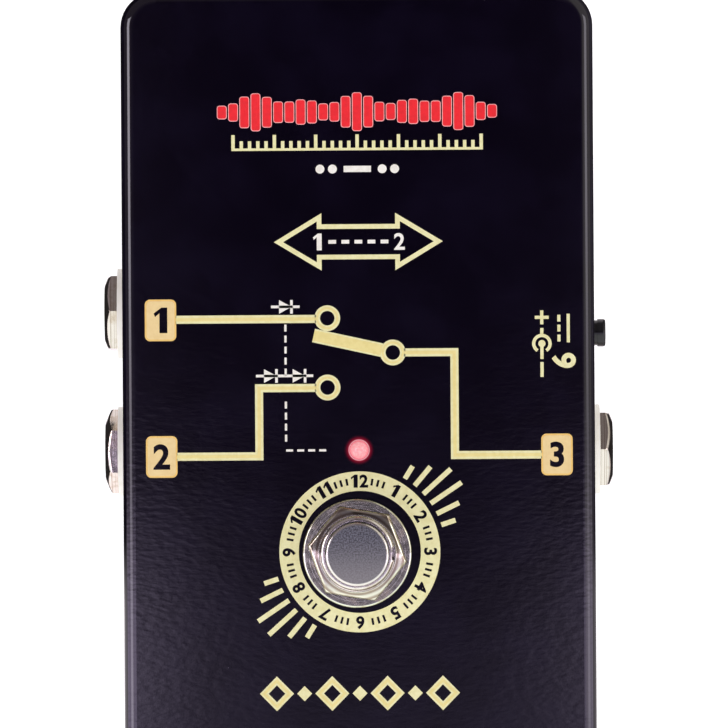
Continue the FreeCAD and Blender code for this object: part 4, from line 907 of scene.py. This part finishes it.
def printDial():
    # a plain numbered ring about the foot switch, with two fans of rays outside it
    look = {"centre": (0.02, -27.87), "outer": 12.94, "inner": 9.81, "figure": 2.1,
            "figureWeight": 0.035, "hourTurn": 30, "ticks": 3, "tickPitch": 4.8, "tickWidth": 0.36,
            "tickLength": 1.1, "rayStart": 13.8, "rayWidth": 0.8, "raySpread": 8,
            "rayEnds": (16.2, 17.8, 19.8, 19.8, 17.8, 16.2), "fans": (38, 218)}
    ringBand(look["centre"], look["outer"], look["inner"], steps=145)
    centre, middle = np.array(look["centre"]), (look["outer"] + look["inner"]) / 2
    for hour in range(12):
        past = look["hourTurn"] * hour
        x, y = centre + toward(90 - past) * middle
        figure(str(hour or 12), look["figure"], x, y, "dark", ink["mark"], turn=-past,
               weight=look["figureWeight"])
        for turn in 90 - past - look["hourTurn"] / 2 + spread(look["ticks"], look["tickPitch"]):
            x, y = centre + toward(turn) * middle
            bar(x, y, look["tickLength"], look["tickWidth"], "dark", ink["mark"], turn=turn)
    turns = spread(len(look["rayEnds"]), look["raySpread"])
    for side in look["fans"]:
        for turn, end in zip(side + turns, look["rayEnds"]):
            x, y = centre + toward(turn) * (look["rayStart"] + end) / 2
            bar(x, y, end - look["rayStart"], look["rayWidth"], turn=turn)


def printLozenges():
    # a row of lozenges along the foot of the face: outlined ones, and small solid ones between them
    look = {"middle": (-0.1, -50.6), "count": 7, "pitch": 4.45, "width": 4.8, "height": 4.9,
            "line": 1.0, "outlined": 0.85, "solid": 0.5}
    corners = np.array([(1, 0), (0, 1), (-1, 0), (0, -1)]) * (look["width"] / 2, look["height"] / 2)
    for step, across in enumerate(spread(look["count"], look["pitch"])):
        spot = np.array(look["middle"]) + (across, 0)
        if step % 2:
            fill(corners * look["solid"] + spot)
        else:
            band(corners * look["outlined"] + spot, look["line"], closed=True)


printDiagram()
printDashes()
printDiodes()
printArrow()
printPolarity()
printRating()
printLevels()
printScale()
printDial()
printLozenges()
for tone, shapes in printed.items():
    makePiece("print_" + tone, joined(shapes), inks[tone])
print("printing:", sum(len(shapes) for shapes in printed.values()), "marks")


# Wound and threaded parts

def pressSpring():
    # a helix from end to end of the solid one; leftShare of its length is left with the button down
    look = {"wire": 0.6, "turns": 6, "leftShare": 0.741}
    low, high = boxInMm("button_spring")
    thick = look["wire"] / 2
    radius = float(high[0] - low[0]) / 2 - thick
    path = helix((low + high) / 2, radius, low[2] + thick, high[2] - thick, look["turns"])
    spring = makePiece("press_spring", swept(path, thick), finishes["spring_steel"], smooth=60)
    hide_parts("button_spring")
    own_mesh(spring)


def bushingThread():
    # a shallow ridge wound about the bushing between the nut and its rim, open at the keyway
    look = {"pitch": 0.75, "radius": 6.0, "proud": 0.07, "sunk": 0.1, "rootShare": 0.32, "crest": 0.05,
            "nutGap": 0.15, "rimGap": 0.7, "keyway": 13, "steps": 85}
    nutHigh, frameHigh = boxInMm("switch_nut")[1], boxInMm("switch_frame")[1]
    half, crest = look["pitch"] * look["rootShare"], look["crest"]
    profile = [(look["sunk"], -half), (look["sunk"], half), (-look["proud"], crest),
               (-look["proud"], -crest)]
    path = arc(switchSpot, look["radius"], look["keyway"], 360 - look["keyway"], look["steps"])
    starts = np.arange(nutHigh[2] + look["nutGap"], frameHigh[2] - look["rimGap"], look["pitch"])
    turns = [carried(np.column_stack([path, start + np.linspace(0, look["pitch"], len(path))]), profile)
             for start in starts]
    thread = makePiece("bushing_thread", joined(turns), finishes["nickel"], smooth=20)


pressSpring()
bushingThread()
print("spring and thread made")


# Floor, light and camera

def makeFloor():
    # white paper, which a gloss sees dim beside the case, and bright below it and south of it; a run
    # is where it starts and ends in mm, and the brightness there
    look = {"half": 3000, "drop": 0.05, "white": 0.86, "rough": 0.9, "light": (1.0, 1.0, 0.985, 1),
            "glow": 0.78, "side": (65, 115, 0.03, 0.3), "below": (47, 44.5, 0, 1.1),
            "southEdge": (-26, -40), "south": (-40, 60, 1.5, 0.75), "green": 0.92, "blue": 0.97}
    mesh = bpy.data.meshes.new("floor")
    half, low = look["half"] * mm, -look["drop"] * mm
    corners = [(-half, -half, low), (half, -half, low), (half, half, low), (-half, half, low)]
    mesh.from_pydata(corners, [], [(0, 1, 2, 3)])
    paper = Finish("paper")
    x, y = paper.axes()[:2]
    white = paper.node("ShaderNodeBsdfPrincipled", sockets={
        "Base Color": [look["white"]] * 3 + [1],
        "Roughness": look["rough"],
        "Emission Color": look["light"],
        "Emission Strength": look["glow"],
    })
    side = paper.between(x, *look["side"])
    below = paper.between((x * x) ** 0.5, *look["below"])
    south = paper.between(y, *look["southEdge"]) * paper.between(x, *look["south"])
    shade = side + below.math("MAXIMUM", below, south)
    sockets = {0: shade, 1: shade * look["green"], 2: shade * look["blue"]}
    colour = paper.node("ShaderNodeCombineColor", sockets=sockets)
    dim = paper.node("ShaderNodeEmission", sockets={"Color": colour})
    isGloss = paper.node("ShaderNodeLightPath", output="Is Glossy Ray")
    shader = paper.node("ShaderNodeMixShader", sockets={0: isGloss, 1: white, 2: dim})
    paper.node("ShaderNodeOutputMaterial", sockets={"Surface": shader})
    paper.owner.cycles.emission_sampling = "NONE"
    mesh.materials.append(paper.owner)
    floor = placed("floor", mesh)


def makeSky():
    # the camera sees white; the object sees a black ceiling, brown walls, a cream one in the east, and a
    # white one in the south that starts overhead and is brightest beside the case. Each edge is two
    # heights of a direction's x, y or z, and a side's also has its brightness at both
    look = {"seen": 1.0, "ceiling": 0.008, "wall": (0.16, 0.135, 0.125), "wallEdge": (0.985, 0.87),
            "east": (0.75, 0.71, 0.64), "eastEdge": (0.2, 0.4), "near": (0.53, 0.46, 0.7),
            "faint": 0.03, "faintEdge": (0.01, -0.007), "nearEdge": (-0.008, -0.082),
            "far": (0.59, 0.71, 0.46), "farEdge": (-0.15, -0.32), "sideTint": (1.12, 0.95, 1.36),
            "left": (-0.018, -0.035, 0, 2.8), "right": (0.0185, 0.035, 0, 1.9),
            "both": (0.01, 0.026, 0, 0.1), "sideLeast": 0.035, "sideStart": (-0.0115, -0.029),
            "sideEnd": (-0.06, -0.03)}
    world = bpy.data.worlds.new("studio")
    bpy.context.scene.world = world
    sky = Finish("studio", world)
    x, y, z = sky.split(sky.node("ShaderNodeTexCoord", output="Generated"))
    low = sky.between(z, *look["wallEdge"])
    east = sky.between(x, *look["eastEdge"])
    near = look["faint"] * sky.between(y, *look["faintEdge"]) + sky.between(y, *look["nearEdge"])
    far = sky.between(y, *look["farEdge"])
    sides = sky.between(x, *look["left"]) + sky.between(x, *look["right"])
    sides = sides + sky.between((x * x) ** 0.5, *look["both"])
    reach = sky.between(y, *look["sideStart"]) * sky.between(y, *look["sideEnd"])
    sides = sides * (look["sideLeast"] + reach)
    shades = [look["ceiling"] + low * look["wall"][index] * (1 - east)
              + east * look["east"][index] * (1 - far)
              + near * look["near"][index] + far * look["far"][index] + sides * look["sideTint"][index]
              for index in range(3)]
    colour = sky.node("ShaderNodeCombineColor", sockets=dict(enumerate(shades)))
    room = sky.node("ShaderNodeBackground", sockets={0: colour})
    seen = sky.node("ShaderNodeBackground", sockets={0: [look["seen"]] * 3 + [1]})
    isCamera = sky.node("ShaderNodeLightPath", output="Is Camera Ray")
    shader = sky.node("ShaderNodeMixShader", sockets={0: isCamera, 1: room, 2: seen})
    sky.node("ShaderNodeOutputWorld", sockets={"Surface": shader})


def stripLight(name, place, radiance, north, south):
    # a long box that only gloss reflects; north and south are its ends' brightness over its middle's
    look = {"size": (250, 460), "colour": (1.04, 0.97, 1.1), "northEnd": (0.43, 0.62),
            "southEnd": (0.42, 0.37)}
    light = bpy.data.lights.new(name, "AREA")
    light.shape = "RECTANGLE"
    light.size, light.size_y = look["size"][0] * mm, look["size"][1] * mm
    light.energy = radiance * math.pi * light.size * light.size_y
    light.color = look["colour"]
    box = Finish(name, light)
    along = box.split(box.node("ShaderNodeNewGeometry", output="Parametric"))[1]
    strength = 1 + box.between(along, *look["northEnd"], 0, north - 1)
    strength = strength + box.between(along, *look["southEnd"], 0, south - 1)
    emission = box.node("ShaderNodeEmission", sockets={"Strength": strength})
    box.node("ShaderNodeOutputLight", sockets={"Surface": emission})
    holder = placed(name, light)
    aim = Vector((0, place[1], faceZ))
    back = (Vector(place) - aim).normalized()
    across = Vector((0, 1, 0)).cross(back).normalized()
    holder.matrix_world = Matrix((across, back.cross(across), back)).transposed().to_4x4()
    holder.location = Vector(place) * mm
    holder.visible_diffuse = False


def fillLight():
    # a wide lamp high above, which lights the matt print but isn't reflected
    look = {"side": 1400, "height": 1900, "radiance": 0.8}
    light = bpy.data.lights.new("fill", "AREA")
    light.size = look["side"] * mm
    light.energy = look["radiance"] * math.pi * light.size ** 2
    holder = placed("fill", light)
    holder.location = (0, 0, look["height"] * mm)
    holder.visible_glossy = False


def makeLights():
    stripLight("leftStrip", (-474, 0, 503), radiance=2.4, north=2.5, south=1.3)
    stripLight("rightStrip", (506, 0, 471), radiance=0.8, north=3.5, south=2.0)
    fillLight()


def makeCamera():
    # it looks straight down from a long way off; lens and sensor are millimetres too, clip is metres
    look = {"x": 0.88, "y": 2.33, "height": 1534.8, "roll": -0.37, "lens": 461.4, "sensor": 36,
            "clip": (0.01, 20)}
    camera = bpy.data.cameras.new("camera")
    camera.lens = look["lens"]
    camera.sensor_width = look["sensor"]
    camera.clip_start, camera.clip_end = look["clip"]
    holder = placed("camera", camera)
    holder.location = Vector((look["x"], look["y"], look["height"])) * mm
    holder.rotation_euler = (0, 0, math.radians(look["roll"]))
    bpy.context.scene.camera = holder


makeFloor()
makeSky()
makeLights()
makeCamera()
bpy.context.scene.view_settings.view_transform = "Standard"
print("floor, light and camera set")
